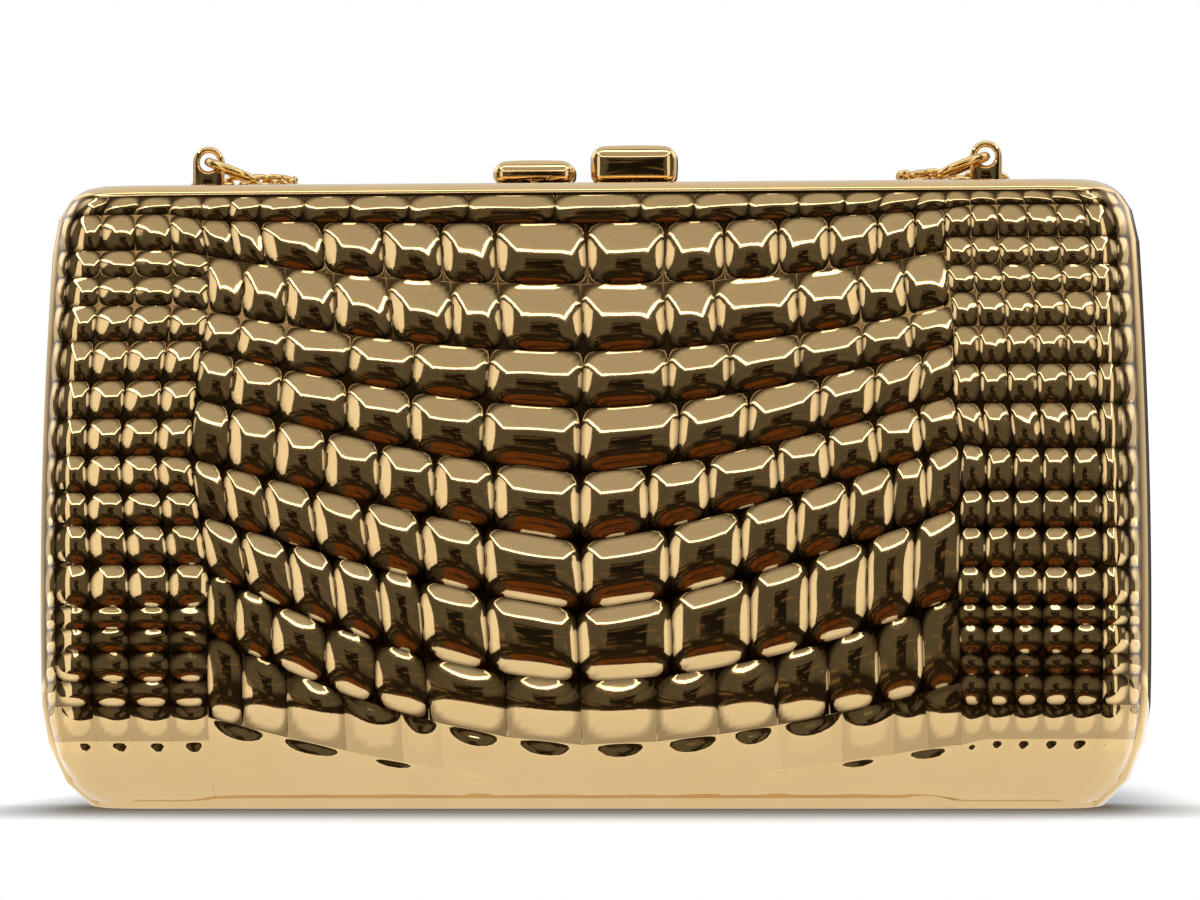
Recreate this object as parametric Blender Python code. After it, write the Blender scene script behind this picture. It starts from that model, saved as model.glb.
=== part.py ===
"""Evening clutch: two crocodile-embossed metal halves, a twin-knob clasp and a chain.

The case stands on its flat underside. X runs along its width, the front faces -Y and
Z is up, with zero on the table under the middle of the case.
"""

import math

import bmesh
import bpy
from mathutils import Vector

for old in list(bpy.data.objects):
    bpy.data.objects.remove(old, do_unlink=True)

# Case outline, as seen from the front
case_width = 0.178
case_height = 0.0998
case_depth = 0.048
waist_height = 0.036
side_bow = 0.0021
top_corner_reach = 0.0066
top_corner_drop = 0.009
bottom_corner_reach = 0.009
bottom_corner_rise = 0.018

# Roundness of each half from its edge to its face
side_round = 0.007
shoulder_drop = 0.004
shoulder_power = 0.3
shoulder_least = 0.0005
belly_rise = 0.018
base_half_depth = 0.010
deepest_height = 0.038
face_curve_radius = 0.25

# Sheet, frames and linings
shell_wall = 0.0018
frame_wall = 0.0011
frame_depth = 0.006
lip_wall = 0.0009
lip_reach = 0.0012
frame_foot_height = 0.009
lining_wall = 0.001

# Clearances
fit_gap = 0.0003
parting_gap = 0.0003
cut_overrun = 0.001

# Embossing: crocodile scales pressed up between grooves, inside a plain border
groove_depth = 0.0008
groove_slope = 0.00055
slope_most_share = 0.3
foot_groove_share = 0.35
border_width = 0.0016
border_turn = math.radians(19)
least_edge = 0.001

# Hinge along the bottom edge
hinge_end_margin = 0.023
hinge_knuckles = 7
hinge_axis_height = 0.002
knuckle_radius = 0.0016
hinge_pin_radius = 0.0007
leaf_depth = 0.009
leaf_thickness = 0.0008
hinge_recess_half = 0.0024
recess_height = 0.002
recess_fade = 0.0014

# Facets of the curved forms
face_steps = 3
corner_row_shares = (0.6, 0.8)

# Chain lugs and rings
lug_end_margin = 0.0259
lug_width = 0.0051
lug_rise = 0.0074
lug_thickness = 0.0015
lug_setback = 0.0023
lug_eye_radius = 0.0015
lug_foot_length = 0.0075
lug_foot_thickness = 0.001
ring_radius = 0.0041
ring_wire = 0.0014
ring_droop = math.radians(22)
rivet_radius = 0.0007
rivet_head_radius = 0.0012
rivet_head_height = 0.0005

# Knobs
knob_depth = 0.0076
fixed_knob_width = 0.0134
fixed_knob_height = 0.0041
fixed_knob_offset = -0.0097
release_knob_width = 0.0141
release_knob_height = 0.0064
release_knob_offset = 0.0064
knob_corner = 0.0019
knob_lift = 0.00035
knob_stem_radius = 0.0012
knob_screw_bite = 0.0025
post_width = 0.004
post_depth = 0.002
stem_setback = 0.0026

# Slide, catch and guide
slide_travel = 0.0019
slide_length = 0.013
slide_depth = 0.0034
slide_thickness = 0.0012
finger_width = 0.002
finger_thickness = 0.001
finger_reach = 0.0038
guide_thickness = 0.0008
guide_end_length = 0.003
screw_radius = 0.0006
screw_head_radius = 0.0011
screw_head_height = 0.0005
spring_room = 0.0062
spring_radius = 0.0009
spring_wire = 0.00035
spring_turns = 6
keeper_width = 0.003
keeper_depth = 0.0026
keeper_height = 0.0032

# Chain
chain_diameter = 0.0029
coil_turn_pitch = 0.0034
coil_outer_radius = 0.0235
coil_turns_each_way = 3.25
coil_offset = 0.056

half_depth = case_depth / 2
half_width_full = case_width / 2
top = case_height
hinge_length = case_width - 2 * hinge_end_margin
lug_spacing = case_width - 2 * lug_end_margin


# Finishes

def metal(name, colour, roughness):
    """A Principled metal."""
    material = bpy.data.materials.new(name)
    material.use_nodes = True
    shader = material.node_tree.nodes["Principled BSDF"]
    shader.inputs["Base Color"].default_value = (*colour, 1)
    shader.inputs["Roughness"].default_value = roughness
    shader.inputs["Metallic"].default_value = 1
    return material


def leather(name, colour, roughness):
    """A Principled leather."""
    material = metal(name, colour, roughness)
    material.node_tree.nodes["Principled BSDF"].inputs["Metallic"].default_value = 0
    return material


gold = metal("gold", (0.83, 0.60, 0.30), 0.08)
chain_gold = metal("chain_gold", (0.80, 0.50, 0.20), 0.12)
brass = metal("brass", (0.70, 0.52, 0.26), 0.28)
steel = metal("steel", (0.55, 0.55, 0.55), 0.3)
lining_leather = leather("lining_leather", (0.36, 0.24, 0.15), 0.6)


# Objects and simple solids

def add_object(name, mesh_or_bm, material):
    """Link a finished mesh as one named piece."""
    if isinstance(mesh_or_bm, bmesh.types.BMesh):
        bmesh.ops.recalc_face_normals(mesh_or_bm, faces=mesh_or_bm.faces)
        mesh = bpy.data.meshes.new(name)
        mesh_or_bm.to_mesh(mesh)
        mesh_or_bm.free()
    else:
        mesh = mesh_or_bm
    mesh.materials.clear()
    mesh.materials.append(material)
    piece = bpy.data.objects.new(name, mesh)
    bpy.context.scene.collection.objects.link(piece)
    return piece


def smooth(piece, angle=math.radians(35)):
    """Shade the round faces smooth and keep the edges."""
    piece.data.shade_smooth()
    piece.data.set_sharp_from_angle(angle=angle)
    return piece


def block(low, high):
    """A box between two corners."""
    bm = bmesh.new()
    bmesh.ops.create_cube(bm, size=1)
    for vert in bm.verts:
        for axis in range(3):
            share = vert.co[axis] + 0.5
            vert.co[axis] = low[axis] + (high[axis] - low[axis]) * share
    return bm


def rod(start, end, radius, sides=12):
    """A round bar."""
    start = Vector(start)
    end = Vector(end)
    length = (end - start).length
    bm = bmesh.new()
    bmesh.ops.create_cone(
        bm, cap_ends=True, segments=sides, radius1=radius, radius2=radius, depth=length)
    turn = Vector((0, 0, 1)).rotation_difference(end - start).to_matrix().to_4x4()
    bmesh.ops.transform(bm, matrix=turn, verts=bm.verts)
    bmesh.ops.translate(bm, vec=(start + end) / 2, verts=bm.verts)
    return bm


def join_in(piece, bm, operation):
    """Unite a solid with the piece, or cut it away, and keep the result."""
    tool = add_object(piece.name + "_tool", bm, piece.data.materials[0])
    modifier = piece.modifiers.new(operation.lower(), "BOOLEAN")
    modifier.operation = operation
    modifier.solver = "EXACT"
    modifier.object = tool
    bpy.context.view_layer.update()
    depsgraph = bpy.context.evaluated_depsgraph_get()
    mesh = bpy.data.meshes.new_from_object(piece.evaluated_get(depsgraph))
    piece.modifiers.clear()
    old = piece.data
    piece.data = mesh
    bpy.data.meshes.remove(old)
    bpy.data.objects.remove(tool, do_unlink=True)
    return piece


def cut(piece, bm):
    return join_in(piece, bm, "DIFFERENCE")


def unite(piece, bm):
    return join_in(piece, bm, "UNION")


# Case form: half width at a height, and depth at a height

def corner_cut(past, length, reach):
    """How far a rounded corner has drawn in after a stretch past its start."""
    if past <= 0:
        return 0.0
    share = min(past / length, 1)
    return reach * (1 - math.sqrt(1 - share * share))


def half_width(z, inset):
    """Half width of the case outline at a height, for a surface set in from it."""
    bow = side_bow * ((z - waist_height) / (top - waist_height)) ** 2
    top_cut = corner_cut(z - (top - top_corner_drop), top_corner_drop - inset, top_corner_reach - inset)
    low_cut = corner_cut(bottom_corner_rise - z, bottom_corner_rise - inset, bottom_corner_reach - inset)
    return half_width_full - inset - bow - top_cut - low_cut


def recess(z):
    """Distance of a half's edge from the parting plane, wider round the hinge."""
    share = min(max((z - recess_height) / recess_fade, 0), 1)
    ease = share * share * (3 - 2 * share)
    return hinge_recess_half + (parting_gap / 2 - hinge_recess_half) * ease


def face_at(z):
    """Depth of the gently bulging face at a height, between the shoulder and the lower curve."""
    return half_depth - (z - deepest_height) ** 2 / (2 * face_curve_radius)


def shoulder_turn(inset):
    """Height of the tight curve along the top, for a surface set in from the outline."""
    return max(shoulder_drop - inset, shoulder_least)


def shoulder(angle, inset, edge):
    """Depth and height on the top shoulder, from the top edge (0) to the face (90 degrees)."""
    height = top - inset - shoulder_turn(inset) * (1 - math.cos(angle))
    depth = edge + (face_at(height) - inset - edge) * math.sin(angle) ** shoulder_power
    return depth, height


def belly(angle, inset):
    """Depth and height on the lower curve, from the face (0) to the flat base (90 degrees)."""
    height = belly_rise - (belly_rise - inset) * math.sin(angle)
    depth = base_half_depth + (face_at(height) - inset - base_half_depth) * math.cos(angle)
    return depth, height


def face_rows(inset, steps):
    """Depth and height of the rows between the shoulder and the lower curve, closer by the top corners."""
    high = top - top_corner_drop
    heights = [top - top_corner_drop * share for share in corner_row_shares]
    heights += [high + (belly_rise - high) * step / steps for step in range(steps)]
    return [(face_at(height) - inset, height) for height in heights]


def quarter(steps):
    """Angles of a quarter turn."""
    return [math.pi / 2 * step / steps for step in range(steps + 1)]


def side_columns(steps):
    """Columns from the left edge to the right edge, as side and angle on the side round."""
    angles = quarter(steps)
    left = [(-1, angle) for angle in reversed(angles)]
    right = [(1, angle) for angle in angles]
    return left + right


def dome_point(facing, column, depth, height, inset, edge):
    """One point of a half's surface. The side round turns from the face to the edge plane."""
    side, angle = column
    reach = side_round - inset
    x = side * (half_width(height, inset) - reach * (1 - math.sin(angle)))
    y = edge + (depth - edge) * math.cos(angle)
    return (x, facing * y, height)


def dome_grid(bm, facing, inset, edge_at, profile_steps, side_steps):
    """Rows of vertices over a half, from its top edge down the face to its bottom edge."""
    rows = []
    profile = [shoulder(angle, inset, edge_at(top)) for angle in quarter(profile_steps)]
    profile += face_rows(inset, face_steps)
    profile += [belly(angle, inset) for angle in quarter(profile_steps)]
    profile.append((edge_at(inset), inset))
    for depth, height in profile:
        edge = edge_at(height)
        row = []
        for column in side_columns(side_steps):
            row.append(bm.verts.new(dome_point(facing, column, depth, height, inset, edge)))
        rows.append(row)
    return rows


def skin(bm, rows):
    """Faces between rows of vertices."""
    for upper, lower in zip(rows, rows[1:]):
        for index in range(len(upper) - 1):
            bm.faces.new((upper[index], upper[index + 1], lower[index + 1], lower[index]))


def rim_loop(rows):
    """The vertices round the border of a grid."""
    loop = list(rows[0])
    loop += [row[-1] for row in rows[1:-1]]
    loop += list(reversed(rows[-1]))
    loop += [row[0] for row in reversed(rows[1:-1])]
    return loop


def close_rims(bm, outer, inner):
    """Faces between the borders of an outer and an inner grid."""
    outer_loop = rim_loop(outer)
    inner_loop = rim_loop(inner)
    count = len(outer_loop)
    for index in range(count):
        after = (index + 1) % count
        bm.faces.new((outer_loop[index], outer_loop[after], inner_loop[after], inner_loop[index]))


def dome_solid(name, facing, outer_inset, wall, edge_at, material):
    """A half's dome with an even wall."""
    bm = bmesh.new()
    outer = dome_grid(bm, facing, outer_inset, edge_at, 4, 3)
    inner = dome_grid(bm, facing, outer_inset + wall, edge_at, 4, 3)
    skin(bm, outer)
    skin(bm, inner)
    close_rims(bm, outer, inner)
    return add_object(name, bm, material)


# Scale pattern, seen from the front: big belly scales in rows that sag towards the middle,
# and a field of small flank scales on each side, beyond a seam. Index 0 is the left side.

row_height_shares = (0.97, 0.93, 0.833, 0.724, 0.633, 0.53, 0.42, 0.313, 0.2, 0.097, 0.03, 0.014, 0.004)
row_rise_shares = (
    (0, 0.008, 0.046, 0.066, 0.092, 0.114, 0.126, 0.145, 0.171, 0.177, 0.11, 0.05, 0),
    (0, 0.019, 0.055, 0.074, 0.103, 0.125, 0.155, 0.163, 0.136, 0.104, 0.07, 0.03, 0))
row_bend_powers = (1, 2, 2.2, 1.8, 1.6, 1.4, 1.2, 1.3, 1.7, 1.7, 1.5, 1.5, 1)
rise_reach_share = 0.66
seam_shares = (
    (-0.69, -0.695, -0.68, -0.675, -0.687, -0.696, -0.703, -0.687, -0.67, -0.673, -0.673, -0.673, -0.673),
    (0.633, 0.632, 0.63, 0.642, 0.646, 0.644, 0.658, 0.656, 0.651, 0.656, 0.656, 0.656, 0.656))
belly_width_shares = (
    (29, 30, 45, 47, 60, 60, 88, 87, 54, 55, 51, 46, 39, 37, 25),
    (29, 34, 60, 61, 60, 55, 93, 82, 58, 55, 51, 49, 38, 30),
    (36, 42, 49, 59, 59, 50, 80, 83, 50, 83, 60, 45, 42),
    (34, 50, 64, 65, 77, 95, 88, 61, 71, 63, 52, 39),
    (34, 54, 64, 64, 71, 101, 94, 69, 71, 55, 48, 30),
    (38, 46, 50, 54, 56, 60, 87, 68, 60, 69, 51, 48, 44, 36),
    (31, 42, 49, 53, 58, 65, 97, 89, 73, 56, 53, 45, 35, 33),
    (39, 47, 44, 45, 40, 65, 89, 92, 77, 57, 57, 46, 44),
    (28, 37, 54, 50, 54, 78, 75, 78, 59, 59, 52, 50, 44, 37),
    (35, 45, 58, 57, 40, 68, 77, 71, 70, 55, 60, 52, 35, 32),
    (65, 80, 80, 80, 80, 75, 75, 80, 75, 65),
    (65, 80, 80, 80, 80, 75, 75, 80, 75, 65))
flank_height_shares = (
    (18, 36, 27, 29, 36, 40, 38, 37, 37, 33, 39, 42, 22, 23, 29, 25, 36, 40, 24),
    (14, 32, 28, 28, 34, 38, 39, 45, 42, 37, 39, 37, 20, 28, 21, 30, 35, 40, 26))
flank_width_shares = ((32, 34, 32, 33, 15), (27, 28, 30, 31, 30, 31, 15))


def spread(start, end, width_shares):
    """Places from one end to the other, spaced in the given proportions."""
    places = [start]
    for share in width_shares:
        places.append(places[-1] + (end - start) * share / sum(width_shares))
    return places


def row_line(row, x):
    """Height of a boundary between belly rows at x."""
    rise = row_rise_shares[x > 0][row] * (abs(x) / (half_width_full * rise_reach_share)) ** row_bend_powers[row]
    return top * (row_height_shares[row] + rise)


def seam_ends(side):
    """Where the belly rows' boundaries meet a seam, from the top down."""
    places = [share * half_width_full for share in seam_shares[side]]
    return [(x, row_line(row, x)) for row, x in enumerate(places)]


def seam_x(side, z):
    """Place of a seam at a height."""
    ends = seam_ends(side)
    for (x_high, z_high), (x_low, z_low) in zip(ends, ends[1:]):
        if z >= z_low:
            break
    return x_low + (x_high - x_low) * (z - z_low) / (z_high - z_low)


def seam_points(side, flank_heights):
    """Points down a seam: the belly rows' ends, and the flank rows' ends between them."""
    ends = seam_ends(side)
    points = list(ends)
    for z in flank_heights:
        if min(abs(z - end[1]) for end in ends) > least_edge:
            points.append((seam_x(side, z), z))
    return sorted(points, key=lambda point: -point[1])


def nearest(points, axis, place):
    """Index of the point nearest to a place along one axis."""
    return min(range(len(points)), key=lambda index: abs(points[index][axis] - place))


def belly_line(row):
    """Points along a boundary between belly rows, one for each scale corner on it."""
    left = seam_shares[0][row] * half_width_full
    right = seam_shares[1][row] * half_width_full
    places = []
    for neighbour in (row - 1, row):
        if 0 <= neighbour < len(belly_width_shares):
            places += spread(left, right, belly_width_shares[neighbour])[1:-1]
    line = [left]
    for place in sorted(places) + [right]:
        if place - line[-1] > least_edge:
            line.append(place)
    return [(x, row_line(row, x)) for x in line]


def belly_scales(seams):
    """Outlines of the belly scales, each as its upper, right, lower and left side."""
    scales = []
    for row, width_shares in enumerate(belly_width_shares):
        upper = belly_line(row)
        lower = belly_line(row + 1)
        above = [nearest(upper, 0, x) for x in spread(upper[0][0], upper[-1][0], width_shares)]
        below = [nearest(lower, 0, x) for x in spread(lower[0][0], lower[-1][0], width_shares)]
        for index in range(len(width_shares)):
            top_side = upper[above[index]:above[index + 1] + 1]
            low_side = lower[below[index]:below[index + 1] + 1][::-1]
            right_side = [top_side[-1], low_side[0]]
            left_side = [low_side[-1], top_side[0]]
            if index == 0:
                left_side = stretch(seams[0], *left_side)
            if index == len(width_shares) - 1:
                right_side = stretch(seams[1], *right_side)
            scales.append((top_side, right_side, low_side, left_side))
    return scales


def stretch(points, start, end):
    """The part of a list of points from one of them to another, either way."""
    first = points.index(start)
    last = points.index(end)
    if first <= last:
        return points[first:last + 1]
    return points[last:first + 1][::-1]


def border_x(side, z):
    """Where the plain border starts at a height."""
    return (-1, 1)[side] * (half_width(z, 0) - border_width)


def flank_line(side, seam, z):
    """Points along a boundary between flank rows, from the seam outwards."""
    start = seam[nearest(seam, 1, z)]
    places = spread(start[0], border_x(side, z), flank_width_shares[side])[1:]
    return [start] + [(x, z) for x in places]


def flank_scales(side, seam, heights):
    """Outlines of one field of flank scales, in the same order of sides."""
    scales = []
    for z_high, z_low in zip(heights, heights[1:]):
        upper = flank_line(side, seam, z_high)
        lower = flank_line(side, seam, z_low)
        for index in range(len(upper) - 1):
            inner_side = [lower[index], upper[index]]
            if index == 0:
                inner_side = stretch(seam, lower[0], upper[0])
            outer_side = [upper[index + 1], lower[index + 1]]
            scales.append((upper[index:index + 2], outer_side, lower[index:index + 2][::-1], inner_side))
    return scales


# Embossed shell: the scales stand on the groove level, and the border carries on to the rim

def arc_share(share):
    """Height of a quarter circle over its base, as a share of its radius."""
    return math.sqrt(1 - min(max(share, 0), 1) ** 2)


def face_depth(z):
    """Depth of the outer surface from the parting plane at a height, away from the sides."""
    if z > top - shoulder_drop:
        edge = recess(z)
        turn_share = arc_share((z - top + shoulder_drop) / shoulder_drop)
        return edge + (face_at(z) - edge) * turn_share ** shoulder_power
    if z < belly_rise:
        return base_half_depth + (face_at(z) - base_half_depth) * arc_share((belly_rise - z) / belly_rise)
    return face_at(z)


def drawn_in(x, z, depth):
    """A face depth at x, drawn in where x lies on the side round."""
    edge = recess(z)
    past = (abs(x) - half_width(z, 0) + side_round) / side_round
    return edge + (depth - edge) * arc_share(past)


def lifted(facing, x, z, lift):
    """A point over the outer surface, square to it."""
    step = least_edge / 10
    slope_x = drawn_in(x + step, z, face_depth(z)) - drawn_in(x - step, z, face_depth(z))
    slope_z = drawn_in(x, z + step, face_depth(z + step)) - drawn_in(x, z - step, face_depth(z - step))
    out = Vector((-slope_x, 2 * step, -slope_z)).normalized()
    point = Vector((x, drawn_in(x, z, face_depth(z)), z)) + out * lift
    return Vector((point.x, facing * point.y, point.z))


def groove_at(z):
    """Depth of the grooves at a height: they fade on the lower curve."""
    return groove_depth * (foot_groove_share + (1 - foot_groove_share) * min(z / belly_rise, 1))


def raise_scale(bm, facing, spots, sides):
    """One scale: its outline in the grooves, and a face with four corners over it."""
    corners = [Vector(side[0]) for side in sides]
    crest = []
    for index, corner in enumerate(corners):
        place = corner.copy()
        for neighbour in (corners[index - 1], corners[(index + 1) % 4]):
            along = neighbour - corner
            place += along.normalized() * min(groove_slope, along.length * slope_most_share)
        crest.append(bm.verts.new(lifted(facing, *place, 0)))
    for index, side in enumerate(sides):
        foot = [spots[point] for point in side]
        bm.faces.new(foot + [crest[(index + 1) % 4], crest[index]])
    bm.faces.new(crest)


def border_columns(z):
    """Places across the plain border at a height, from the pattern to the rim."""
    start = math.asin(1 - (border_width - groove_slope) / side_round)
    angles = (start, (start + math.pi / 2) / 2, math.pi / 2)
    return [half_width(z, 0) - side_round * (1 - math.sin(angle)) for angle in angles]


def border_row(bm, facing, line, depth, z):
    """A plain row over or under the pattern, from rim to rim, with a place for each point of a line."""
    columns = border_columns(z)
    reach = half_width(z, 0) - border_width
    places = [-x for x in reversed(columns)]
    places += [x * reach / line[-1][0] for x, height in line]
    places += columns
    return [bm.verts.new((x, facing * drawn_in(x, z, depth), z)) for x in places]


def embossed_outside(bm, facing):
    """The outer surface of an embossed half. Returns the vertices round its rim."""
    pattern_top = top * row_height_shares[0]
    pattern_foot = top * row_height_shares[-1]
    heights = [spread(pattern_top, pattern_foot, shares) for shares in flank_height_shares]
    seams = [seam_points(side, heights[side]) for side in (0, 1)]
    scales = belly_scales(seams)
    for side in (0, 1):
        scales += flank_scales(side, seams[side], heights[side])
    spots = {}
    for sides in scales:
        for point in [point for side in sides for point in side]:
            if point not in spots:
                spots[point] = bm.verts.new(lifted(facing, *point, -groove_at(point[1])))
    for sides in scales:
        raise_scale(bm, facing, spots, sides)

    # Plain strips down both sides, from the pattern to the rim
    strips = []
    for side, sign in enumerate((-1, 1)):
        strip = []
        for z in heights[side]:
            plain = [bm.verts.new((sign * x, facing * drawn_in(x, z, face_depth(z)), z))
                     for x in border_columns(z)]
            strip.append([spots[flank_line(side, seams[side], z)[-1]]] + plain)
        skin(bm, strip)
        strips.append(strip)

    # Plain rows over and under the pattern
    ends = []
    for row, index in ((0, 0), (len(belly_width_shares), -1)):
        left = flank_line(0, seams[0], heights[0][index])[::-1]
        right = flank_line(1, seams[1], heights[1][index])
        line = left + belly_line(row)[1:-1] + right
        ends.append((line, strips[0][index][:0:-1] + [spots[point] for point in line] + strips[1][index][1:]))
    (top_line, top_row), (low_line, low_row) = ends
    over = [border_row(bm, facing, top_line, *shoulder(angle, 0, recess(top)))
            for angle in (0, border_turn, 2 * border_turn, 3 * border_turn)]
    over.append(border_row(bm, facing, top_line, face_depth(pattern_top + groove_slope),
                           pattern_top + groove_slope))
    under = [border_row(bm, facing, low_line, face_depth(pattern_foot / 2), pattern_foot / 2),
             border_row(bm, facing, low_line, base_half_depth, 0),
             border_row(bm, facing, low_line, recess(0), 0)]
    skin(bm, over + [top_row])
    skin(bm, [low_row] + under)
    rim = list(over[0]) + [row[-1] for row in over[1:] + strips[1] + under[:-1]]
    rim += under[-1][::-1]
    rim += [row[0] for row in under[-2::-1]] + [row[-1] for row in strips[0][::-1]]
    rim += [row[0] for row in over[:0:-1]]
    return rim


def length_shares(loop):
    """How far round a closed loop each of its vertices lies, from 0 to 1."""
    steps = [(after.co - vert.co).length for vert, after in zip(loop, loop[1:] + loop[:1])]
    shares = [0.0]
    for step in steps:
        shares.append(shares[-1] + step / sum(steps))
    return shares


def stitch(bm, outer, inner):
    """Triangles between two closed loops that start at the same corner."""
    outer_shares = length_shares(outer)
    inner_shares = length_shares(inner)
    i = 0
    j = 0
    while i < len(outer) or j < len(inner):
        here = outer[i % len(outer)]
        there = inner[j % len(inner)]
        if j == len(inner) or (i < len(outer) and outer_shares[i + 1] <= inner_shares[j + 1]):
            i += 1
            bm.faces.new((here, outer[i % len(outer)], there))
        else:
            j += 1
            bm.faces.new((here, inner[j % len(inner)], there))


def embossed_shell(name, facing):
    """One half: the embossed outside, a plain inside and the rim between them."""
    bm = bmesh.new()
    outer = embossed_outside(bm, facing)
    inner = dome_grid(bm, facing, shell_wall, recess, 6, 5)
    skin(bm, inner)
    stitch(bm, outer, rim_loop(inner))
    return add_object(name, bm, gold)


front = -1
rear = 1
front_shell = embossed_shell("front_shell", front)
rear_shell = embossed_shell("rear_shell", rear)


# Rim frames: a strip inside each half's edge, round the two sides and the top

frame_outer = shell_wall + fit_gap
frame_inner = frame_outer + frame_wall
lip_outer = frame_inner + fit_gap
lip_inner = lip_outer + lip_wall


def outline_path(inset, foot, side_steps, corner_steps):
    """Points up one side, round the corner, across the top and down the other side."""
    start = top - top_corner_drop
    heights = [foot + (start - foot) * step / side_steps for step in range(side_steps)]
    heights += [start + (top_corner_drop - inset) * math.sin(angle) for angle in quarter(corner_steps)]
    left = [(-half_width(z, inset), z) for z in heights]
    right = [(half_width(z, inset), z) for z in reversed(heights)]
    return left + right


def frame_solid(name, facing, section):
    """Sweep a section of (inset, depth) corners along the outline."""
    bm = bmesh.new()
    strips = []
    for inset, depth in section:
        path = outline_path(inset, frame_foot_height, 5, 5)
        strips.append([bm.verts.new((x, facing * depth, z)) for x, z in path])
    count = len(strips)
    for index in range(count):
        strip = strips[index]
        after = strips[(index + 1) % count]
        for step in range(len(strip) - 1):
            bm.faces.new((strip[step], strip[step + 1], after[step + 1], after[step]))
    bm.faces.new([strip[0] for strip in strips])
    bm.faces.new([strip[-1] for strip in reversed(strips)])
    return add_object(name, bm, brass)


edge_plane = parting_gap / 2
frame_back = frame_outer + fit_gap
front_frame = frame_solid("front_frame", front, (
    (frame_back, frame_depth), (frame_outer, edge_plane), (lip_outer, edge_plane),
    (lip_outer, -lip_reach), (lip_inner, -lip_reach), (lip_inner, frame_depth)))
rear_frame = frame_solid("rear_frame", rear, (
    (frame_back, frame_depth), (frame_outer, edge_plane),
    (frame_inner, edge_plane), (frame_inner, frame_depth)))


# Lining trays, which stand over the hinge leaves and behind the frames

lining_inset = shell_wall + fit_gap + leaf_thickness + fit_gap
lining_edge = frame_depth + fit_gap


def lining_edge_at(height):
    return lining_edge


front_lining = dome_solid("front_lining", front, lining_inset, lining_wall, lining_edge_at, lining_leather)
rear_lining = dome_solid("rear_lining", rear, lining_inset, lining_wall, lining_edge_at, lining_leather)


# Hinge: a leaf with knuckles on each half, and one pin

leaf_bottom = shell_wall + fit_gap
knuckle_bore = hinge_pin_radius + fit_gap / 2
knuckle_pitch = hinge_length / hinge_knuckles


def hinge_leaf(name, facing, first):
    """A plate on the base, with every second knuckle joined to it by a tab."""
    low = (-hinge_length / 2, min(facing * hinge_recess_half, facing * leaf_depth), leaf_bottom)
    high = (hinge_length / 2, max(facing * hinge_recess_half, facing * leaf_depth), leaf_bottom + leaf_thickness)
    leaf = add_object(name, block(low, high), brass)
    for index in range(first, hinge_knuckles, 2):
        start = -hinge_length / 2 + knuckle_pitch * index + fit_gap / 2
        end = start + knuckle_pitch - fit_gap
        near = (knuckle_radius + knuckle_bore) / 2
        far = hinge_recess_half + fit_gap
        tab_low = (start, min(facing * near, facing * far), leaf_bottom)
        tab_high = (end, max(facing * near, facing * far), leaf_bottom + leaf_thickness)
        unite(leaf, block(tab_low, tab_high))
        unite(leaf, rod((start, 0, hinge_axis_height), (end, 0, hinge_axis_height), knuckle_radius))
        cut(leaf, rod((start - cut_overrun, 0, hinge_axis_height),
                      (end + cut_overrun, 0, hinge_axis_height), knuckle_bore))
    return smooth(leaf)


rear_hinge_leaf = hinge_leaf("rear_hinge_leaf", rear, 0)
front_hinge_leaf = hinge_leaf("front_hinge_leaf", front, 1)
hinge_pin = smooth(add_object("hinge_pin", rod(
    (-hinge_length / 2, 0, hinge_axis_height), (hinge_length / 2, 0, hinge_axis_height),
    hinge_pin_radius, 12), steel))


# Chain lugs: a tab with an eye, through the rear half's top, with a riveted foot inside

frame_under = top - frame_inner
lug_foot_top = frame_under - fit_gap
lug_foot_bottom = lug_foot_top - lug_foot_thickness
eye_height = top + lug_rise - lug_width / 2


def chain_lug(side, word):
    """One lug with its slot in the shell and frame, and its rivet."""
    x = side * lug_spacing / 2
    y_low = lug_setback - lug_thickness / 2
    y_high = lug_setback + lug_thickness / 2
    tab = add_object("chain_lug_" + word, block(
        (x - lug_width / 2, y_low, lug_foot_bottom), (x + lug_width / 2, y_high, eye_height)), chain_gold)
    unite(tab, rod((x, y_low, eye_height), (x, y_high, eye_height), lug_width / 2, 20))
    inner_end = x - side * lug_foot_length
    outer_end = x + side * lug_width / 2
    foot_back = frame_depth - fit_gap
    unite(tab, block((min(inner_end, outer_end), y_low, lug_foot_bottom),
                     (max(inner_end, outer_end), foot_back, lug_foot_top)))
    cut(tab, rod((x, y_low - cut_overrun, eye_height), (x, y_high + cut_overrun, eye_height),
                 lug_eye_radius, 16))
    rivet_x = x - side * (lug_foot_length + lug_width / 2) / 2
    rivet_y = (y_high + foot_back) / 2
    rivet_top = frame_under + frame_wall / 2
    rivet_seat = lug_foot_bottom - fit_gap
    hole = rivet_radius + fit_gap
    cut(tab, rod((rivet_x, rivet_y, lug_foot_bottom - cut_overrun),
                 (rivet_x, rivet_y, lug_foot_top + fit_gap / 2), hole))
    cut(rear_frame, rod((rivet_x, rivet_y, lug_foot_top), (rivet_x, rivet_y, rivet_top + fit_gap), hole))
    slot = block((x - lug_width / 2 - fit_gap, y_low - fit_gap, frame_under - cut_overrun),
                 (x + lug_width / 2 + fit_gap, y_high + fit_gap, top + cut_overrun))
    cut(rear_frame, slot.copy())
    cut(rear_shell, slot)
    rivet = add_object("lug_rivet_" + word, rod(
        (rivet_x, rivet_y, rivet_seat - rivet_head_height), (rivet_x, rivet_y, rivet_seat),
        rivet_head_radius), steel)
    unite(rivet, rod((rivet_x, rivet_y, rivet_seat - rivet_head_height / 2),
                     (rivet_x, rivet_y, rivet_top), rivet_radius))
    smooth(rivet)
    return smooth(tab)


chain_lug_left = chain_lug(-1, "left")
chain_lug_right = chain_lug(1, "right")


# Jump rings, each hanging through its eye and leaning inwards on the case

ring_steps = 20
wire_steps = 8


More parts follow.
